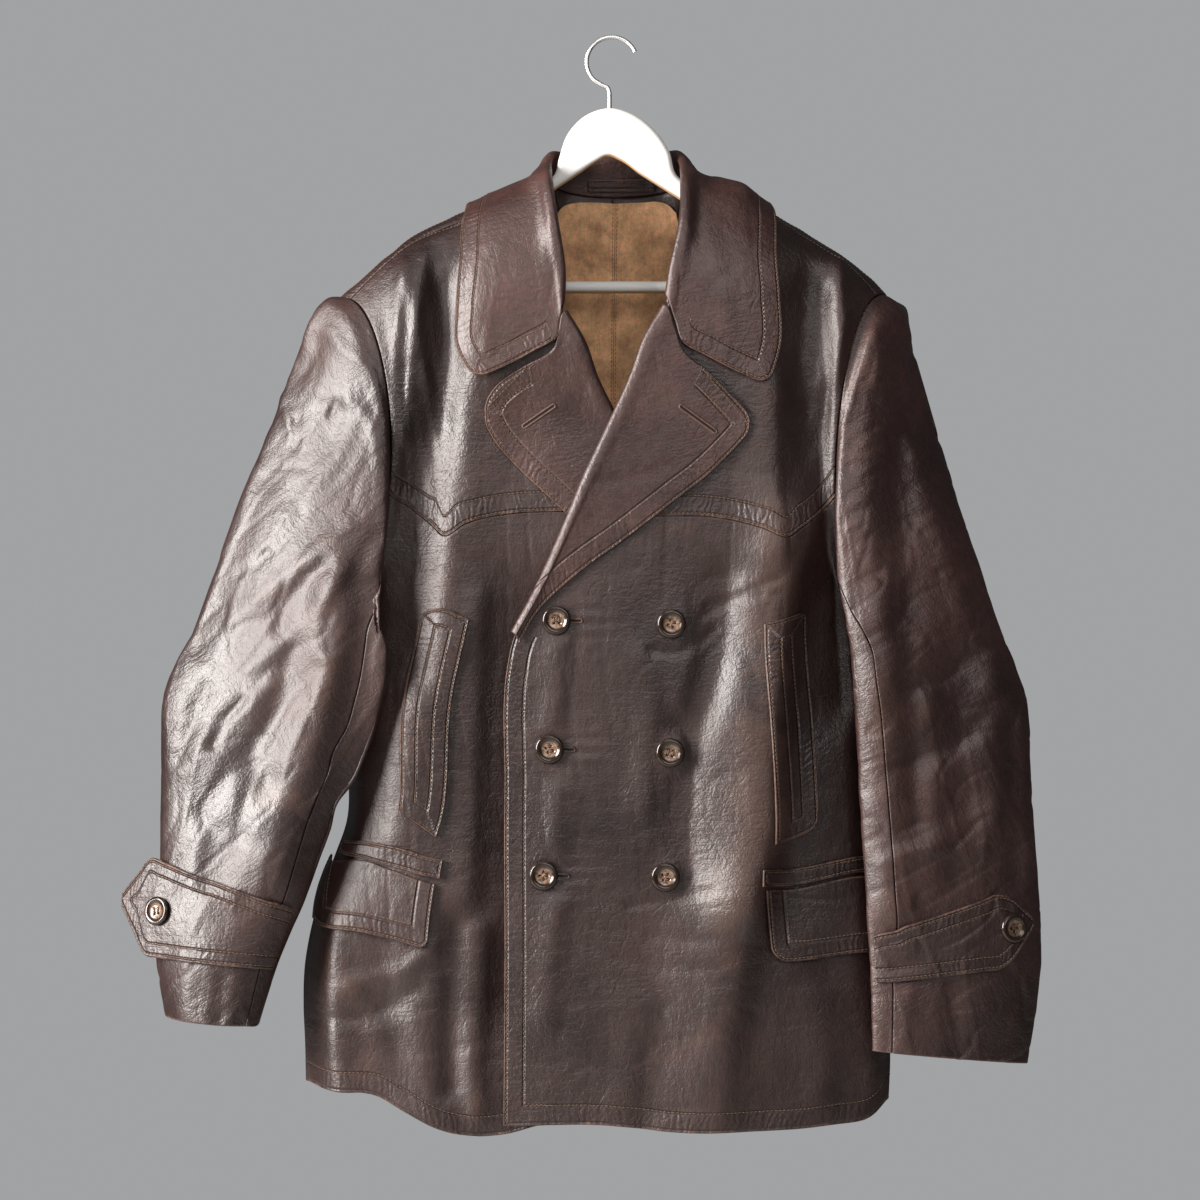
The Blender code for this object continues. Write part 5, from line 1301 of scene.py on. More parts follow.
def sleeve_surface(rings, hole, folds):
    """A function from (place along, angle round) to the sleeve's outer face; place 0 is the armhole."""
    table = []
    centre_ring = [np.array([*hole[key], 0.0]) for key in ("top", "low", "front", "back")]
    for k, facing in ((2, 1), (3, -1)):
        flat = np.array([[centre_ring[k][0], centre_ring[k][1]]]) * MM
        centre_ring[k][2] = surface(to_angles(flat, facing))[0, 1] / MM
    table.append(np.array(centre_ring))
    table += [np.array(ring, float) for ring in rings]
    table = np.array(table)[..., [0, 2, 1]] * MM
    reach = np.linspace(0, 1, len(table))
    slope = np.gradient(table, reach, axis=0)

    def at(place, angle):
        span = np.clip(np.searchsorted(reach, place, side="right") - 1, 0, len(table) - 2)
        width = reach[span + 1] - reach[span]
        t = ((place - reach[span]) / width)[..., None, None]
        ring = course(table, slope, span, t, width[..., None, None])
        outer, inner, front, back = (ring[..., k, :] for k in range(4))
        centre = (outer + inner) / 2
        turn = angle[..., None]
        face = np.where(np.sin(turn) > 0, front, back)
        points = centre + (outer - inner) / 2 * np.cos(turn) + (face - centre) * np.abs(np.sin(turn))
        height = fold_height(points[..., 0], points[..., 2], folds)
        facing_front = np.clip(np.sin(angle), 0, 1)
        points[..., 1] -= height * facing_front * ramp(place, 0.0, 0.12)
        far = SLEEVE_CLEARANCE * np.clip(place / SLEEVE_CLEARANCE_PLACE, 0, 1)
        return np.where(place[..., None] > 0, clear_of_body(points, far), points)

    return at


def armhole_ring(hole, degrees, normals=False):
    """The armhole seam in space at these angles, or the body's normals there."""
    turn = np.mod(degrees, 360)
    front = turn <= 180
    flat = np.where(front[:, None], armhole(hole, turn, 1), armhole(hole, turn, -1)) * MM
    angles = to_angles(flat, np.where(front, 1.0, -1.0))
    return surface_normals(angles) if normals else surface(angles)


# Painted light: the left sleeve, turned away from the window, has its dye painted 1.8 times as light; the right
# one's is lifted 1.15 times
SLEEVED = {
    "right": leather_material("leather_sleeve_right", 0.9, 0.9, 0.0, 1.15, 32.0),
    "left": leather_material("leather_sleeve_left", 0.9, 0.9, 0.0, 1.8, 28.0),
}

# Creases of the right and left sleeves, listed like those of the front
RIGHT_ARM_CREASES = [
    ([(-301, -384), (-318, -427), (-334, -470), (-349, -508), (-358, -530)], 8, 12, -2.8),
    ([(-268, -298), (-239, -313), (-222, -319), (-208, -332), (-201, -366)], 6, 7, 1.5),
    ([(-237, -316), (-242, -327)], 3, 3, -1.8),
    ([(-274, -332), (-273, -356)], 4, 4, -1.6),
    ([(-287, -311), (-276, -344)], 5, 5, 2.2),
    ([(-306, -364), (-292, -371), (-280, -373), (-261, -373)], 2.4, 2.4, -1.0),
    ([(-243, -255), (-230, -273), (-206, -286)], 6, 6, 1.8),
    ([(-210, -282), (-201, -289)], 3, 3, -2.0),
    ([(-253, -267), (-268, -289)], 8, 8, -1.6),
    ([(-246, -457), (-261, -469), (-274, -484), (-280, -494), (-283, -513)], 8, 8, -3.1),
    ([(-226, -422), (-248, -445), (-274, -462), (-300, -482), (-327, -506)], 9, 10, 2.0),
    ([(-296, -446), (-320, -464)], 5, 5, -1.9),
    ([(-228, -466), (-242, -484), (-261, -503), (-283, -523), (-311, -545)], 9, 10, 2.1),
    ([(-203, -433), (-220, -464), (-237, -493), (-242, -525)], 8, 10, -2.6),
    ([(-316, -574), (-330, -589), (-342, -611)], 7, 5, -3.1),
    ([(-292, -559), (-325, -585), (-347, -609), (-372, -635)], 9, 9, 1.9),
    ([(-252, -547), (-282, -585), (-304, -609), (-334, -644), (-350, -670)], 10, 12, -2.7),
    ([(-349, -562), (-361, -590), (-372, -622)], 8, 8, -2.0),
    ([(-238, -470), (-243, -526), (-248, -565), (-256, -613), (-268, -657), (-281, -710)], 36, 20, 6.5),
    ([(-206, -480), (-212, -565), (-222, -640), (-238, -715)], 26, 20, -6.5),
    ([(-310, -650), (-315, -702), (-322, -732)], 14, 12, 1.6),
    ([(-341, -685), (-347, -728)], 9, 9, -2.2),
    ([(-268, -573), (-286, -624), (-301, -676)], 12, 10, 1.5),
    ([(-330, -809), (-335, -844)], 8, 8, -2.0),
    ([(-363, -801), (-366, -839)], 9, 9, 1.8),
]
LEFT_ARM_CREASES = [
    ([(226, -262), (222, -341), (219, -401), (223, -487), (230, -573), (236, -659), (240, -745)], 17, 22, 6.5),
    ([(250, -332), (248, -418), (252, -504), (258, -590), (262, -676)], 12, 12, -2.4),
    ([(203, -355), (228, -336), (251, -325)], 3, 3, -1.1),
    ([(215, -360), (248, -343), (279, -333)], 3, 3, -1.1),
    ([(201, -376), (222, -367)], 3, 3, -1.0),
    ([(215, -384), (239, -369), (255, -362)], 3, 3, -1.0),
    ([(256, -391), (272, -381)], 3, 3, -1.2),
    ([(250, -419), (273, -410)], 3, 3, -1.1),
    ([(200, -399), (217, -390), (230, -386)], 3, 3, -1.0),
    ([(199, -419), (215, -410), (234, -404)], 3, 3, -1.0),
    ([(267, -429), (289, -416)], 3, 3, -1.0),
    ([(201, -442), (222, -433), (252, -428)], 4, 3, -0.9),
    ([(205, -474), (230, -463)], 3, 4, -0.9),
    ([(280, -463), (301, -452)], 4, 3, -1.0),
    ([(213, -521), (239, -509)], 4, 4, -0.9),
    ([(261, -362), (270, -401), (286, -431), (296, -474), (320, -521), (335, -573)], 16, 12, 3.4),
    ([(252, -229), (265, -280), (282, -341)], 14, 12, -2.0),
    ([(248, -255), (234, -272), (227, -298)], 5, 6, 1.8),
    ([(291, -538), (301, -607), (306, -685)], 18, 16, -2.4),
    ([(265, -564), (273, -642), (273, -728)], 14, 14, 2.6),
    ([(342, -590), (346, -659), (347, -728)], 12, 10, -2.4),
    ([(325, -521), (299, -545), (252, -564)], 8, 8, -2.2),
    ([(334, -573), (291, -611), (239, -629)], 9, 9, -2.0),
    ([(230, -710), (273, -698), (316, -702)], 7, 7, 1.6),
    ([(252, -818), (248, -865)], 9, 9, 1.8),
    ([(291, -818), (295, -874)], 10, 9, -1.8),
]
CUFF_BUTTONS = [(-385, -759), (322, -792)]


def slanted(points, lean, along_scale, across_scale, seed):
    """Creases that run along a slant: lean is the slant's x for each unit down."""
    down = np.array([lean, 0, -1.0])
    down /= np.linalg.norm(down)
    across = np.array([-down[2], 0, down[0]])
    turned = np.stack([points @ down, points @ across, points[..., 1]], axis=-1)
    return crinkle(turned, (along_scale, across_scale, across_scale), seed)


def sleeve_relief(points, normals, creases, fine):
    """Relief of a sleeve: its own creases in front, and only shallow dents behind, where the body is close."""
    towards = ramp(-normals[..., 1], -0.05, 0.45)
    total = 1.1 * soft_lumps(points) + fine + creased(points, creases)
    behind = -0.0008 - 0.0016 * slanted(points, -0.5, 8, 26, 171)
    return (total * towards + behind * (1 - towards)) * calm(points, CUFF_BUTTONS)


def sleeve_relief_right(points, normals):
    fine = 0.0008 * slanted(points, -0.55, 9, 36, 131) - 0.0008 * slanted(points, -1.4, 14, 46, 139)
    return sleeve_relief(points, normals, RIGHT_ARM_CREASES, fine)


def sleeve_relief_left(points, normals):
    fine = 0.0006 * slanted(points, 0.25, 9, 38, 157) - 0.0010 * slanted(points, -2.6, 16, 60, 163)
    return sleeve_relief(points, normals, LEFT_ARM_CREASES, fine)


tubes = {}
for side, rings, hole, folds, relief in (
    ("right", SLEEVE_RIGHT, ARMHOLE_RIGHT, SLEEVE_FOLDS_RIGHT, sleeve_relief_right),
    ("left", SLEEVE_LEFT, ARMHOLE_LEFT, SLEEVE_FOLDS_LEFT, sleeve_relief_left),
):
    at = tubes[side] = sleeve_surface(rings, hole, folds)
    degrees = np.array(ARMHOLE_ANGLES_YOKE + ARMHOLE_ANGLES_FRONT[1:] + ARMHOLE_ANGLES_BACK[1:-1], float)
    places = np.insert(np.linspace(0, 1, SLEEVE_ROWS + 1), 1, SLEEVE_FIRST_PLACE)
    place, angle = np.meshgrid(places, np.radians(degrees), indexing="ij")
    tube = at(place, angle)
    tube[0] = armhole_ring(hole, degrees)
    wrapped = np.concatenate([tube[:, -1:], tube, tube[:, :1]], axis=1)
    normals = grid_normals(wrapped)
    normals = unit(normals[:, :-2] + 2 * normals[:, 1:-1] + normals[:, 2:])
    for _ in range(4):
        normals[1:-1] = unit(normals[:-2] + normals[1:-1] + normals[2:])
    centre = tube.mean(axis=1, keepdims=True)
    if np.sum(normals * (tube - centre)) < 0:
        normals = -normals
    body = armhole_ring(hole, degrees, normals=True)
    away = unit(tube[1] - tube[0])
    round_it = np.roll(tube[0], -1, axis=0) - np.roll(tube[0], 1, axis=0)
    outside = unit(np.cross(round_it, body))
    outside *= np.sign(np.sum(outside * (tube[0] - centre[0]), axis=-1, keepdims=True))
    lean = np.arctan2(np.sum(normals[0] * outside, axis=-1), np.sum(normals[0] * body, axis=-1))
    lean = np.where(lean < -math.pi / 2, math.pi, np.clip(lean, 0, math.pi))
    lean = (lean * ramp(lean, *SLEEVE_TURN))[:, None]
    tube[0] += (away + 0.75 * (1 - np.cos(lean)) * body - np.sin(lean) * outside) * SEAM_GAP
    normals[0] = body * np.cos(lean) + outside * np.sin(lean)
    front_seam, back_seam = (int(np.flatnonzero(degrees == seam)[0]) for seam in SLEEVE_SEAMS)
    top = list(range(back_seam, len(degrees))) + list(range(front_seam + 1))
    under = list(range(front_seam, back_seam + 1))
    for name, columns in ((f"sleeve_top_{side}", top), (f"sleeve_under_{side}", under)):
        outer = trimmed(tube[:, columns], SEAM_GAP)
        cloth(name, outer, outer - normals[:, columns] * LEATHER, LEATHER, SLEEVED[side], relief, (),
              "hung", [f"yoke_{side}", f"back_{side}"], worn=("top",), still=("bottom",))

# Cuff straps
# Pointed straps of doubled leather, 3 mm thick, sewn all round. Each buttons round its cuff, and the right one's
# point stands clear of its sleeve.

STRAP_LEATHER = 0.0030
STRAP_LAY = 0.0012
STRAP_ROWS = ((0.003, 1), (0.012, 0.8))

# Cuff straps on their sleeves: place along the sleeve and angle round it, then a free pointed end
STRAP_RIGHT = {
    "from": 158, "to": 52, "rows": ((0.822, 0.908), (0.800, 0.905)), "free": 0.058, "tip": 0.030,
}
STRAP_LEFT = {
    "from": 164, "to": 34, "rows": ((0.803, 0.877), (0.793, 0.893)), "free": 0.0, "tip": 0.028,
}
STRAP_COLUMNS = 12
STRAP_TIP_WIDTH = 0.12
STRAP_STEP = 0.01

strap_grids = {}
for side, spec in (("right", STRAP_RIGHT), ("left", STRAP_LEFT)):
    at = tubes[side]
    turns = np.radians(np.linspace(spec["from"], spec["to"], STRAP_COLUMNS + 1))
    share = np.linspace(0, 1, STRAP_COLUMNS + 1)
    low = spec["rows"][0][1] + (spec["rows"][1][1] - spec["rows"][0][1]) * share
    high = spec["rows"][0][0] + (spec["rows"][1][0] - spec["rows"][0][0]) * share
    rows = []
    for t in np.linspace(0, 1, 5):
        place = low * (1 - t) + high * t
        base = at(place, turns)
        down = at(place + STRAP_STEP, turns) - base
        normal = unit(np.cross(down, np.gradient(base, axis=0)))
        normal *= np.sign(-normal[:, 1:2])
        rows.append(base + normal * (STRAP_LAY + STRAP_LEATHER / 2))
    grid = np.array(rows)
    if spec["free"]:
        heading = unit(grid[:, -1] - grid[:, -2])
        more = [grid[:, -1] + heading * spec["free"] * s for s in (0.25, 0.5, 0.75, 1.0)]
        grid = np.concatenate([grid, np.stack(more, axis=1)], axis=1)
    length = np.concatenate([[0], np.cumsum(np.linalg.norm(np.diff(grid[2], axis=0), axis=1))])
    past = np.clip((length - (length[-1] - spec["tip"])) / spec["tip"], 0, 1)
    narrow = 1 - (1 - STRAP_TIP_WIDTH) * past
    grid = grid[2] + (grid - grid[2]) * narrow[None, :, None]
    strap_grids[side] = grid
    relief = sleeve_relief_right if side == "right" else sleeve_relief_left
    cloth(f"cuff_strap_{side}", *coarse_sheet(grid, STRAP_LEATHER), STRAP_LEATHER, STRAPPED, relief,
          [(edge, far, 0, reach) for edge in ("top", "bottom") for far, reach in STRAP_ROWS],
          "folded", [f"sleeve_top_{side}"], STEP * 0.6, 0.0004)

# Pockets
# Slanted hand-warmer welts, and flaps with a band above each, of doubled leather 2.5 mm thick, all laid on the
# fronts and sewn through. The flaps stand off at their lower edge.

FLAP_LEATHER = 0.0025
FLAP_LIFT = 0.0035

# Outlines: bottom, top and the two ends
WELT_RIGHT = [[(-183, -667), (-150, -691)], [(-164, -497), (-154, -494), (-122, -503)],
              [(-183, -667), (-164, -497)], [(-150, -691), (-122, -503)]]
FLAP_BAND_RIGHT = [[(-234, -705), (-229, -707), (-147, -726)], [(-231, -693), (-224, -694), (-144, -709)],
                   [(-234, -705), (-231, -693)], [(-147, -726), (-144, -709)]]
FLAP_BAND_LEFT = [[(128, -731), (214, -721), (234, -719)], [(128, -716), (214, -707), (233, -705)],
                  [(128, -731), (128, -716)], [(234, -719), (233, -705)]]

POCKET_ROW = 0.0025
WELT_ROW = 0.0145
FLAP_ROW = 0.0165
POCKETED = leather_material("leather_pocket", first=POCKET_ROW, second=WELT_ROW, pucker=0.16, tint=1.05)


def patch_grids(outline, counts, lift, under):
    edges = [to_angles(np.array(edge, float) * MM) for edge in outline]
    bottom, top = (smooth_through(edge, counts[0]) for edge in edges[:2])
    start, end = (smooth_through(edge, counts[1]) for edge in edges[2:])
    angles = coons(bottom, top, start, end)
    rise = np.linspace(lift, 0, counts[1] + 1)[:, None] * np.ones(counts[0] + 1)
    middle = laid_on(angles, LAY_GAP + FLAP_LEATHER / 2 + rise, under)
    return coarse_sheet(trimmed(middle), FLAP_LEATHER)


ALL_ROUND, INSET = (
    [(side, distance, 0, 1) for side in ("bottom", "top", "start", "end")] for distance in (POCKET_ROW, WELT_ROW)
)
FLAP_ROWS = [(side, far, 0, 1) for side in ("bottom", "start", "end") for far in (POCKET_ROW, FLAP_ROW)]
WELT_LEFT = [[(139, -696), (177, -681)], [(129, -507), (167, -495)],
             [(139, -696), (129, -507)], [(177, -681), (167, -495)]]
FLAP_RIGHT = [[(-254, -762), (-229, -770), (-157, -786)], [(-241, -708), (-229, -711), (-151, -730)],
              [(-254, -762), (-241, -708)], [(-157, -786), (-151, -730)]]
FLAP_LEFT = [[(136, -796), (200, -790), (235, -788)], [(131, -734), (214, -724), (235, -722)],
             [(136, -796), (131, -734)], [(235, -788), (235, -722)]]
for name, outline, counts, lift, rows, corners in (
    ("welt_right", WELT_RIGHT, (4, 10), 0.0, ALL_ROUND + INSET, [("start", "top", 0.008)]),
    ("welt_left", WELT_LEFT, (4, 10), 0.0, ALL_ROUND + INSET, [("end", "top", 0.007), ("end", "bottom", 0.009)]),
    ("flap_band_right", FLAP_BAND_RIGHT, (8, 2), 0.0, ALL_ROUND, []),
    ("flap_band_left", FLAP_BAND_LEFT, (8, 2), 0.0, ALL_ROUND, []),
    ("flap_right", FLAP_RIGHT, (8, 5), FLAP_LIFT, FLAP_ROWS, [("end", "bottom", 0.010)]),
    ("flap_left", FLAP_LEFT, (8, 5), FLAP_LIFT, FLAP_ROWS, [("start", "bottom", 0.014)]),
):
    below = name.endswith("right")
    cloth(name, *patch_grids(outline, counts, lift, below), FLAP_LEATHER, POCKETED,
          under_relief if below else front_relief, rows, "laid", ["front_right" if below else "front_left"],
          STEP * 0.6, rounded=corners)

# Stitches
# Light brown linen thread in all the rows that the pieces above carry, about 3.6 mm a stitch, each sunk a little
# into the leather.

STITCH_PITCH = 0.0036
STITCH_LENGTH = 0.0027
THREAD_RADIUS = 0.00034


def sew(name, runs, node, pitch=STITCH_PITCH, stitch=STITCH_LENGTH, radius=THREAD_RADIUS):
    """Stitches as small sunk capsules along lines of points with normals."""
    rings = np.array([(-1.0, 0.25), (-0.6, 0.95), (0.6, 0.95), (1.0, 0.25)])
    sides = 5
    turn = np.linspace(0, 2 * math.pi, sides, endpoint=False)
    shape = np.array([(t * stitch / 2, r * math.cos(a), r * math.sin(a)) for t, r in rings for a in turn])
    shape[:, 1:] *= radius
    loops = []
    for k in range(len(rings) - 1):
        for j in range(sides):
            a, b = k * sides + j, k * sides + (j + 1) % sides
            loops.append((a, b, b + sides, a + sides))
    loops += [tuple(range(sides - 1, -1, -1)), tuple(range((len(rings) - 1) * sides, len(rings) * sides))]
    points, faces, count = [], [], 0
    for line, normal in runs:
        reach = np.concatenate([[0], np.cumsum(np.linalg.norm(np.diff(line, axis=0), axis=-1))])
        if reach[-1] < 2 * pitch:
            continue
        places = np.arange(pitch / 2, reach[-1] - pitch / 4, pitch)
        at = lambda values, where: np.stack([np.interp(where, reach, values[:, k]) for k in range(3)], axis=-1)
        centre, up = at(line, places), unit(at(normal, places))
        ahead = unit(at(line, places + 0.001) - at(line, places - 0.001))
        side = unit(np.cross(up, ahead))
        tilt = 0.10 * np.sin(places * 9000)[:, None]
        ahead = unit(ahead + side * tilt)
        for c, a, s, u in zip(centre, ahead, side, up):
            points.append(c + shape[:, :1] * a + shape[:, 1:2] * s + (shape[:, 2:] + radius * 0.35) * u)
            faces += [tuple(k + count for k in face) for face in loops]
            count += len(shape)
    if points:
        made = new_object(name, np.concatenate(points), faces, THREAD)
        ride(made, node)


def thread_material():
    made, tree, shader, place = new_material("thread")
    twist = noise(tree, place, 260.0)
    shade = mixed(tree, twist, (0.070, 0.040, 0.026, 1), (0.215, 0.140, 0.092, 1))
    tree.links.new(shade, shader.inputs["Base Color"])
    shader.inputs["Roughness"].default_value = 0.75
    return made


THREAD = thread_material()

for name, runs in THREAD_RUNS.items():
    sew(f"{name}_stitches", runs, name)

# Buttons
# Turned discs of mottled brown horn, 25 mm across, with a dark raised rim and four holes, sewn on through them with
# brown thread.


def horn_material():
    made, tree, shader, place = new_material("horn")
    reach = surface_value(tree, "reach")
    cloud = noise(tree, place, 260.0, detail=5.0, roughness=0.7, distortion=0.8)
    patchy = ranged(tree, cloud, 0.36, 0.60)
    mottle = mixed(tree, patchy, (0.030, 0.014, 0.009, 1), (0.270, 0.175, 0.120, 1))
    rim = smoothed(tree, reach, 0.0060, 0.0078)
    colour = mixed(tree, rim, mottle, (0.020, 0.011, 0.007, 1))
    tree.links.new(colour, shader.inputs["Base Color"])
    shader.inputs["Roughness"].default_value = 0.17
    shader.inputs["Specular IOR Level"].default_value = 0.6
    bump = add(tree, "Bump", Strength=0.15, Distance=0.0004, Height=cloud)
    tree.links.new(bump.outputs["Normal"], shader.inputs["Normal"])
    return made


HORN = horn_material()
# Painted shade: a near-black material for the shade inside the buttonholes' slits
HOLE_SHADOW, tree, shader, place = new_material("hole_shadow")
speck = noise(tree, place, 300.0)
tone = mixed(tree, speck, (0.004, 0.003, 0.002, 1), (0.012, 0.008, 0.006, 1))
tree.links.new(tone, shader.inputs["Base Color"])
shader.inputs["Roughness"].default_value = 0.9

# A button's half section as (radius, height), the place of its holes, and the height of its face
BUTTON_PROFILE = [
    (0.0, 0.0024), (0.0040, 0.0024), (0.0060, 0.0025), (0.0072, 0.0030), (0.0085, 0.0039), (0.0099, 0.0044),
    (0.0111, 0.0041), (0.0119, 0.0034), (0.0124, 0.0025), (0.0125, 0.0018), (0.0121, 0.0008), (0.0112, 0.0001),
    (0.0090, 0.0), (0.0, 0.0),
]
HOLE_OFFSET = 0.0021
HOLE_RADIUS = 0.00125
FACE_HEIGHT = 0.0024


def button_mesh():
    """A turned disc with four holes cut through it."""
    steps = 48
    points = [(0, 0, BUTTON_PROFILE[0][1])]
    faces = []
    for r, z in BUTTON_PROFILE[1:-1]:
        points += [(r * math.cos(a), r * math.sin(a), z) for a in np.arange(steps) * 2 * math.pi / steps]
    points.append((0, 0, 0))
    rings = len(BUTTON_PROFILE) - 2
    for j in range(steps):
        following = (j + 1) % steps
        faces.append((0, 1 + j, 1 + following))
        for k in range(rings - 1):
            a, b = 1 + k * steps + j, 1 + k * steps + following
            faces.append((a, a + steps, b + steps, b))
        faces.append((len(points) - 1, 1 + (rings - 1) * steps + following, 1 + (rings - 1) * steps + j))
    mesh = bpy.data.meshes.new("button")
    mesh.from_pydata(points, [], faces)
    disc = bpy.data.objects.new("button", mesh)
    bpy.context.scene.collection.objects.link(disc)
    cutters = []
    for x, y in ((1, 1), (1, -1), (-1, 1), (-1, -1)):
        bpy.ops.mesh.primitive_cylinder_add(vertices=16, radius=HOLE_RADIUS, depth=0.01,
                                            location=(x * HOLE_OFFSET, y * HOLE_OFFSET, 0.002))
        cutters.append(bpy.context.object)
    with bpy.context.temp_override(active_object=cutters[0], selected_editable_objects=cutters):
        bpy.ops.object.join()
    cut = disc.modifiers.new("holes", "BOOLEAN")
    cut.object, cut.solver = cutters[0], "EXACT"
    evaluated = disc.evaluated_get(bpy.context.evaluated_depsgraph_get())
    result = bpy.data.meshes.new_from_object(evaluated)
    for unused in (disc, cutters[0]):
        bpy.data.objects.remove(unused)
    return result


def make_button(name, template):
    """A button in its CAD solid's place: the solid's flat direction gives the way it faces."""
    corners = np.array([vertex.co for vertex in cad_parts[name].data.vertices])
    centre = corners.mean(axis=0)
    normal = np.linalg.svd(corners - centre)[2][2]
    normal *= -np.sign(normal[1])
    seat = centre + normal * ((corners - centre) @ normal).min()
    upright = unit(np.cross(normal, (1.0, 0, 0)))
    side = np.cross(upright, normal)
    turn = 0.5 + 0.9 * (len(name) + ord(name[-1])) % 3
    first = side * math.cos(turn) + upright * math.sin(turn)
    second = np.cross(normal, first)
    local = np.array([vertex.co for vertex in template.vertices])
    mesh = template.copy()
    world = seat + local[:, :1] * first + local[:, 1:2] * second + local[:, 2:] * normal
    mesh.vertices.foreach_set("co", world.ravel())
    mesh.materials.clear()
    mesh.materials.append(HORN)
    mesh.shade_smooth()
    layer = mesh.attributes.new("reach", "FLOAT", "POINT")
    layer.data.foreach_set("value", np.linalg.norm(local[:, :2], axis=1).astype(np.float32))
    made = bpy.data.objects.new(name + "_horn", mesh)
    bpy.context.scene.collection.objects.link(made)
    made.data.update()
    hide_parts(name)
    ride(made, name)
    bars = []
    for offset in (-HOLE_OFFSET, HOLE_OFFSET):
        for lift in (-0.00025, 0.00025):
            t = np.linspace(-1, 1, 7)
            line = (seat + first * (offset + lift) + second * (t * HOLE_OFFSET)[:, None]
                    + normal * (FACE_HEIGHT + 0.0005 * (1 - t**2))[:, None])
            bars.append((line, np.tile(normal, (7, 1))))
    sew(name + "_thread", bars, name, pitch=0.0012, stitch=0.0024, radius=0.00032)


template = button_mesh()
for name in [f"button_front_{k}" for k in range(1, 7)] + ["button_cuff_left", "button_cuff_right"]:
    make_button(name, template)

# Buttonholes
# Corded slits beside the closed buttons and on both lapels. Each is a thin raised ring of leather round a cut drawn
# as a near-black sheet of painted shade, and lies on the piece that it is cut in.

PLAIN = leather_material("leather_plain", second=0.9, pucker=0.0)
CORD_RADIUS = 0.00085
SLIT_HALF_WIDTH = 0.0011
SLIT_LIFT = 0.00025
FRONT_HOLES = [(-47, -504), (-53, -614), (-58, -722)]


def on_piece(name, x, z):
    """Place and normal on a made piece's outer face, where it faces the viewer at this x and z in millimetres."""
    fine, normals = LAID[name]
    flat, facing = fine.reshape(-1, 3), normals.reshape(-1, 3)
    far = (flat[:, 0] - x * MM) ** 2 + (flat[:, 2] - z * MM) ** 2 + np.where(facing[:, 1] < -0.2, 0, 1)
    near = np.argsort(far)[:12]
    weight = 1 / (far[near] + 2e-7)
    weight /= weight.sum()
    point = weight @ flat[near]
    return np.array([x * MM, point[1], z * MM]), unit(weight @ facing[near])


def tube_along(path, normals, radius, sides=8):
    """Points and faces of a closed tube round a ring of places."""
    ahead = unit(np.roll(path, -1, axis=0) - np.roll(path, 1, axis=0))
    side = unit(np.cross(ahead, normals))
    turn = np.linspace(0, 2 * math.pi, sides, endpoint=False)
    points = (path[:, None] + radius * (side[:, None] * np.cos(turn)[None, :, None]
              + normals[:, None] * np.sin(turn)[None, :, None])).reshape(-1, 3)
    count = len(path)
    faces = []
    for k in range(count):
        for j in range(sides):
            a, b = k * sides + j, k * sides + (j + 1) % sides
            c, d = ((k + 1) % count) * sides + (j + 1) % sides, ((k + 1) % count) * sides + j
            faces.append((a, b, c, d))
    return points, faces


def buttonhole(name, piece, first, last, width=1.6):
    """A corded slit in a piece, from its first to its last place in millimetres."""
    first, last = np.array(first, float), np.array(last, float)
    along = unit(last - first)
    side = np.array([-along[1], along[0]])
    places = []
    for centre, base in ((last, -90), (first, 90)):
        for a in np.radians(np.linspace(base, base + 180, 7)):
            places.append(centre + width * (along * math.cos(a) + side * math.sin(a)))
    ring = []
    for a, b in zip(places, places[1:] + places[:1]):
        steps = max(1, int(np.linalg.norm(b - a) / 2.0))
        ring += [a + (b - a) * k / steps for k in range(steps)]
    laid = [on_piece(piece, *spot) for spot in ring]
    path = np.array([point for point, _ in laid])
    normals = np.array([normal for _, normal in laid])
    points, faces = tube_along(path + normals * 0.0001, normals, CORD_RADIUS)
    made = new_object(name, points, faces, PLAIN, [("rim", np.full(len(points), 0.0004))])
    ride(made, piece)
    laid = [on_piece(piece, *(first + (last - first) * t)) for t in np.linspace(0, 1, 9)]
    middle, up = (np.array(values) for values in zip(*laid))
    across = unit(np.cross(up, np.gradient(middle, axis=0)))
    across *= SLIT_HALF_WIDTH * np.sin(np.linspace(0.15, 0.85, 9) * math.pi)[:, None]
    edge = np.concatenate([middle + across + up * SLIT_LIFT, (middle - across + up * SLIT_LIFT)[::-1]])
    # The slit is a thin sheet of painted shade laid just over the leather
    slit = new_object(name + "_slit", edge, [(k, k + 1, 16 - k, 17 - k) for k in range(8)], HOLE_SHADOW)
    ride(slit, piece)


for number, (x, z) in enumerate(FRONT_HOLES, 1):
    buttonhole(f"buttonhole_front_{number}", "front_left", (x - 3, z + 0.5), (x + 20, z - 0.5))
buttonhole("buttonhole_lapel_right", "lapel_right", (-75, -338), (-50, -321))
buttonhole("buttonhole_lapel_left", "lapel_left", (59, -322), (88, -343))

# Hanger
# A contoured wooden board with its trouser bar, painted white and bare wood below, and a plated wire hook screwed
# into the top.

HOOK_RADIUS = 0.020
HOOK_WIRE = 0.0038
HOOK_SWEEP = (-1.15, 2.35)
HOOK_STEM_X = -0.002
HOOK_STEM = [(-0.0090, -0.0395), (-0.0035, -0.0425), (HOOK_STEM_X, -0.0470)]
BOARD_THICKNESS = 0.010
BOARD_ROUNDING = 0.0045
BOARD_TOP = -0.0600
BOARD_SEAT = 0.0021
BOARD_FORWARD = 0.0007
BAR_RADIUS = 0.00525
BAR_Z = -0.2155
ARM_SLOPE = 0.62
ARM_LOW_START = (-51, -132)
ARM_LOW_START_LEFT = (57, -138.5)
ARM_END_X = (-207, 211)
ARM_TOP_X = ((-206, -190, -160, -125, -95, -72), (82, 105, 135, 165, 195, 210))
DOME_RIGHT = [(-60, -125), (-50, -118), (-46, -104), (-38, -82), (-22, -66), (-2, BOARD_TOP / MM)]
DOME_LEFT = [(18, -65), (36, -78), (50, -98), (56, -118), (66, -126)]
ARCH_TOP = (-3, -102)

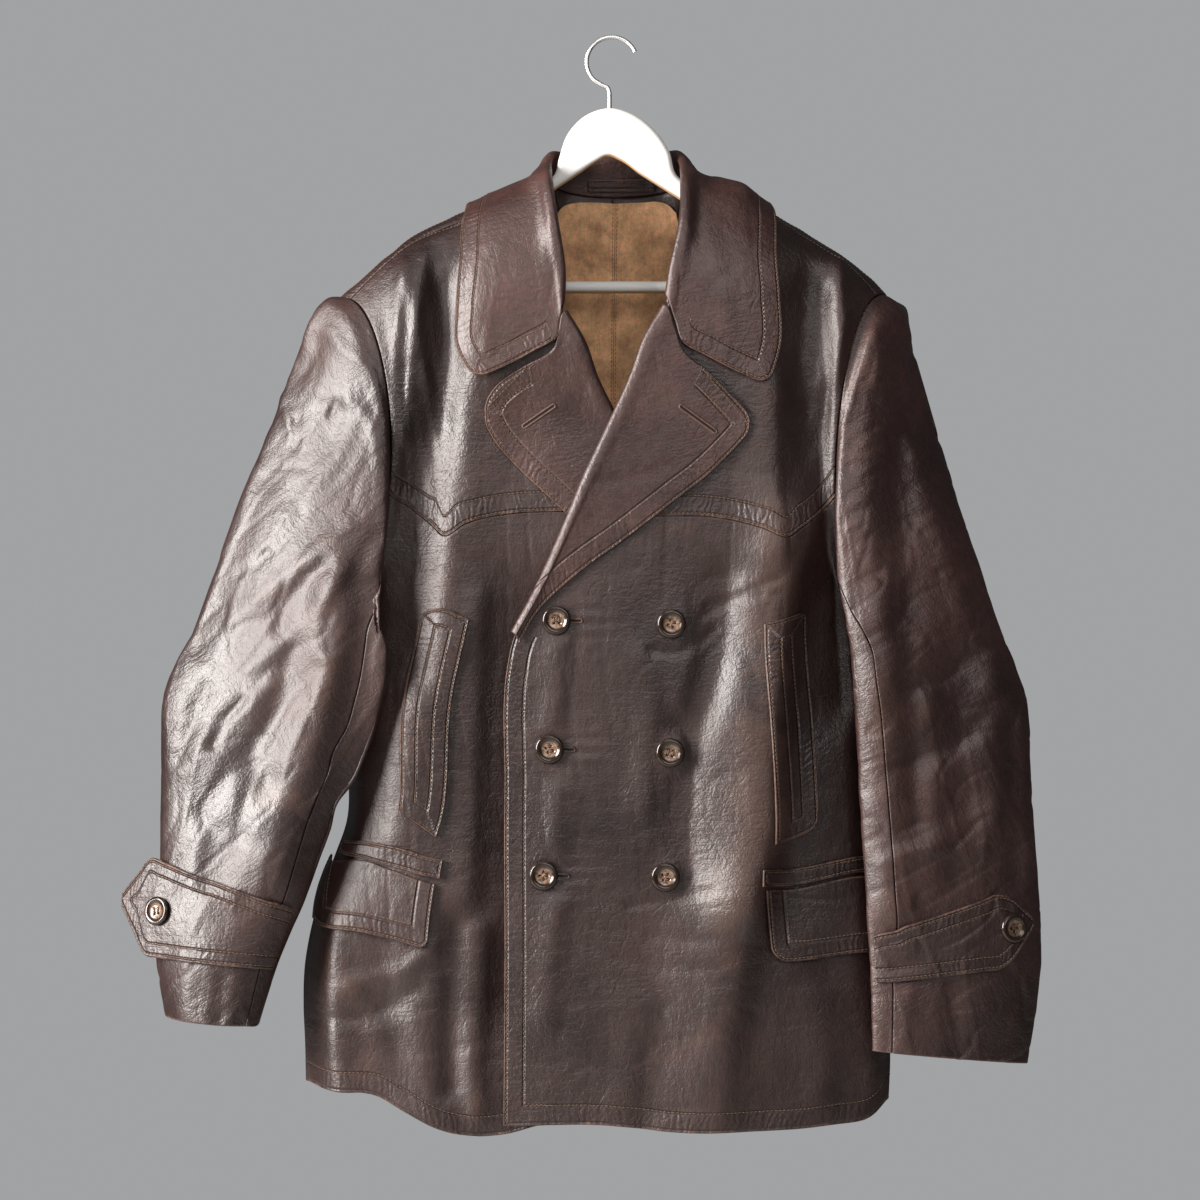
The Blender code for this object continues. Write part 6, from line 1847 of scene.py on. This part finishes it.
PAINT, tree, shader, place = new_material("hanger_paint")
dirt = noise(tree, place, 26.0, detail=6.0, roughness=0.6)
tone = mixed(tree, dirt, (0.80, 0.79, 0.76, 1), (0.88, 0.875, 0.86, 1))
facing = add(tree, "NewGeometry")
parts = add(tree, "SeparateXYZ", Vector=facing.outputs["Normal"])
under = smoothed(tree, parts.outputs["Z"], -0.35, -0.75)
layered = add(tree, "Mapping", Vector=place, Scale=(30.0, 900.0, 30.0))
ply = noise(tree, layered.outputs[0], 1.0)
wood = mixed(tree, ply, (0.42, 0.24, 0.12, 1), (0.66, 0.44, 0.25, 1))
colour = mixed(tree, under, tone, wood)
tree.links.new(colour, shader.inputs["Base Color"])
shader.inputs["Roughness"].default_value = 0.38
brushed = noise(tree, place, 160.0, detail=3.0)
bump = add(tree, "Bump", Strength=0.12, Distance=0.0006, Height=brushed)
tree.links.new(bump.outputs["Normal"], shader.inputs["Normal"])

STEEL, tree, shader, place = new_material("hook_plating")
scratch = noise(tree, place, 90.0, detail=3.0)
gloss = ranged(tree, scratch, 0.0, 1.0, 0.26, 0.42)
tree.links.new(gloss, shader.inputs["Roughness"])
shader.inputs["Base Color"].default_value = (0.86, 0.86, 0.85, 1)
shader.inputs["Metallic"].default_value = 1.0


def from_curve(name, route, material, node, cyclic=False, **settings):
    """A mesh made from a curve: a board from a flat outline, or a wire along a route."""
    curve = bpy.data.curves.new(name, "CURVE")
    for key, value in settings.items():
        setattr(curve, key, value)
    spline = curve.splines.new("POLY")
    spline.points.add(len(route) - 1)
    for point, place in zip(spline.points, route):
        point.co = (*place, 1)
    spline.use_cyclic_u = cyclic
    holder = bpy.data.objects.new(name, curve)
    bpy.context.scene.collection.objects.link(holder)
    mesh = bpy.data.meshes.new_from_object(holder.evaluated_get(bpy.context.evaluated_depsgraph_get()))
    bpy.data.objects.remove(holder)
    mesh.materials.clear()
    mesh.materials.append(material)
    mesh.shade_smooth()
    made = bpy.data.objects.new(name, mesh)
    bpy.context.scene.collection.objects.link(made)
    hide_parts(node)
    return made


under_coat = (LEATHER + BOARD_SEAT) / MM
arm_right, arm_left = ([(x, ridge(x * MM) / MM - under_coat) for x in places] for places in ARM_TOP_X)
end_right = (ARM_END_X[0], ARM_LOW_START[1] + (ARM_END_X[0] - ARM_LOW_START[0]) * ARM_SLOPE)
end_left = (ARM_END_X[1], ARM_LOW_START_LEFT[1] - (ARM_END_X[1] - ARM_LOW_START_LEFT[0]) * ARM_SLOPE)
dome = smooth_through(DOME_RIGHT + DOME_LEFT, 60).tolist()
arch = smooth_through([(24, -117.5), (8, -106), ARCH_TOP, (-14, -107.5), (-28, -117)], 16).tolist()
outline = arm_right + dome + arm_left + [end_left, ARM_LOW_START_LEFT] + arch + [ARM_LOW_START, end_right]
board = from_curve("hanger_board_painted", [(x * MM, z * MM, 0) for x, z in outline], PAINT, "hanger_board", True,
                   dimensions="2D", fill_mode="BOTH", extrude=BOARD_THICKNESS / 2 - BOARD_ROUNDING,
                   bevel_depth=BOARD_ROUNDING, bevel_resolution=5, offset=-BOARD_ROUNDING)
for vertex in board.data.vertices:
    x, z, depth = vertex.co
    vertex.co = (x, -depth - BOARD_FORWARD, z)
board.data.flip_normals()
ride(board, "hanger_board")

low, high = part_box("hanger_bar")
route = [(x, 0, BAR_Z) for x in np.linspace(low.x, high.x, 9)]
bar = from_curve("hanger_bar_painted", route, PAINT, "hanger_bar", dimensions="3D", bevel_depth=BAR_RADIUS,
                 bevel_resolution=8, use_fill_caps=True)
ride(bar, "hanger_bar")

ring = HOOK_RADIUS + HOOK_WIRE / 2
sweep = [(-ring * math.sin(a), -HOOK_RADIUS + ring * math.cos(a)) for a in np.linspace(*HOOK_SWEEP, 60)]
stem = smooth_through([sweep[-1]] + HOOK_STEM, 18)[1:].tolist()
route = sweep + stem + [(HOOK_STEM_X, BOARD_TOP - 0.002)]
hook = from_curve("hanger_hook_plated", [(x, 0, z) for x, z in route], STEEL, "hanger_hook", dimensions="3D",
                  bevel_depth=HOOK_WIRE / 2, bevel_resolution=6, use_fill_caps=True)
ride(hook, "hanger_hook")

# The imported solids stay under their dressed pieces, in plain leather
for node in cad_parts.values():
    node.data.materials.clear()
    node.data.materials.append(PLAIN)
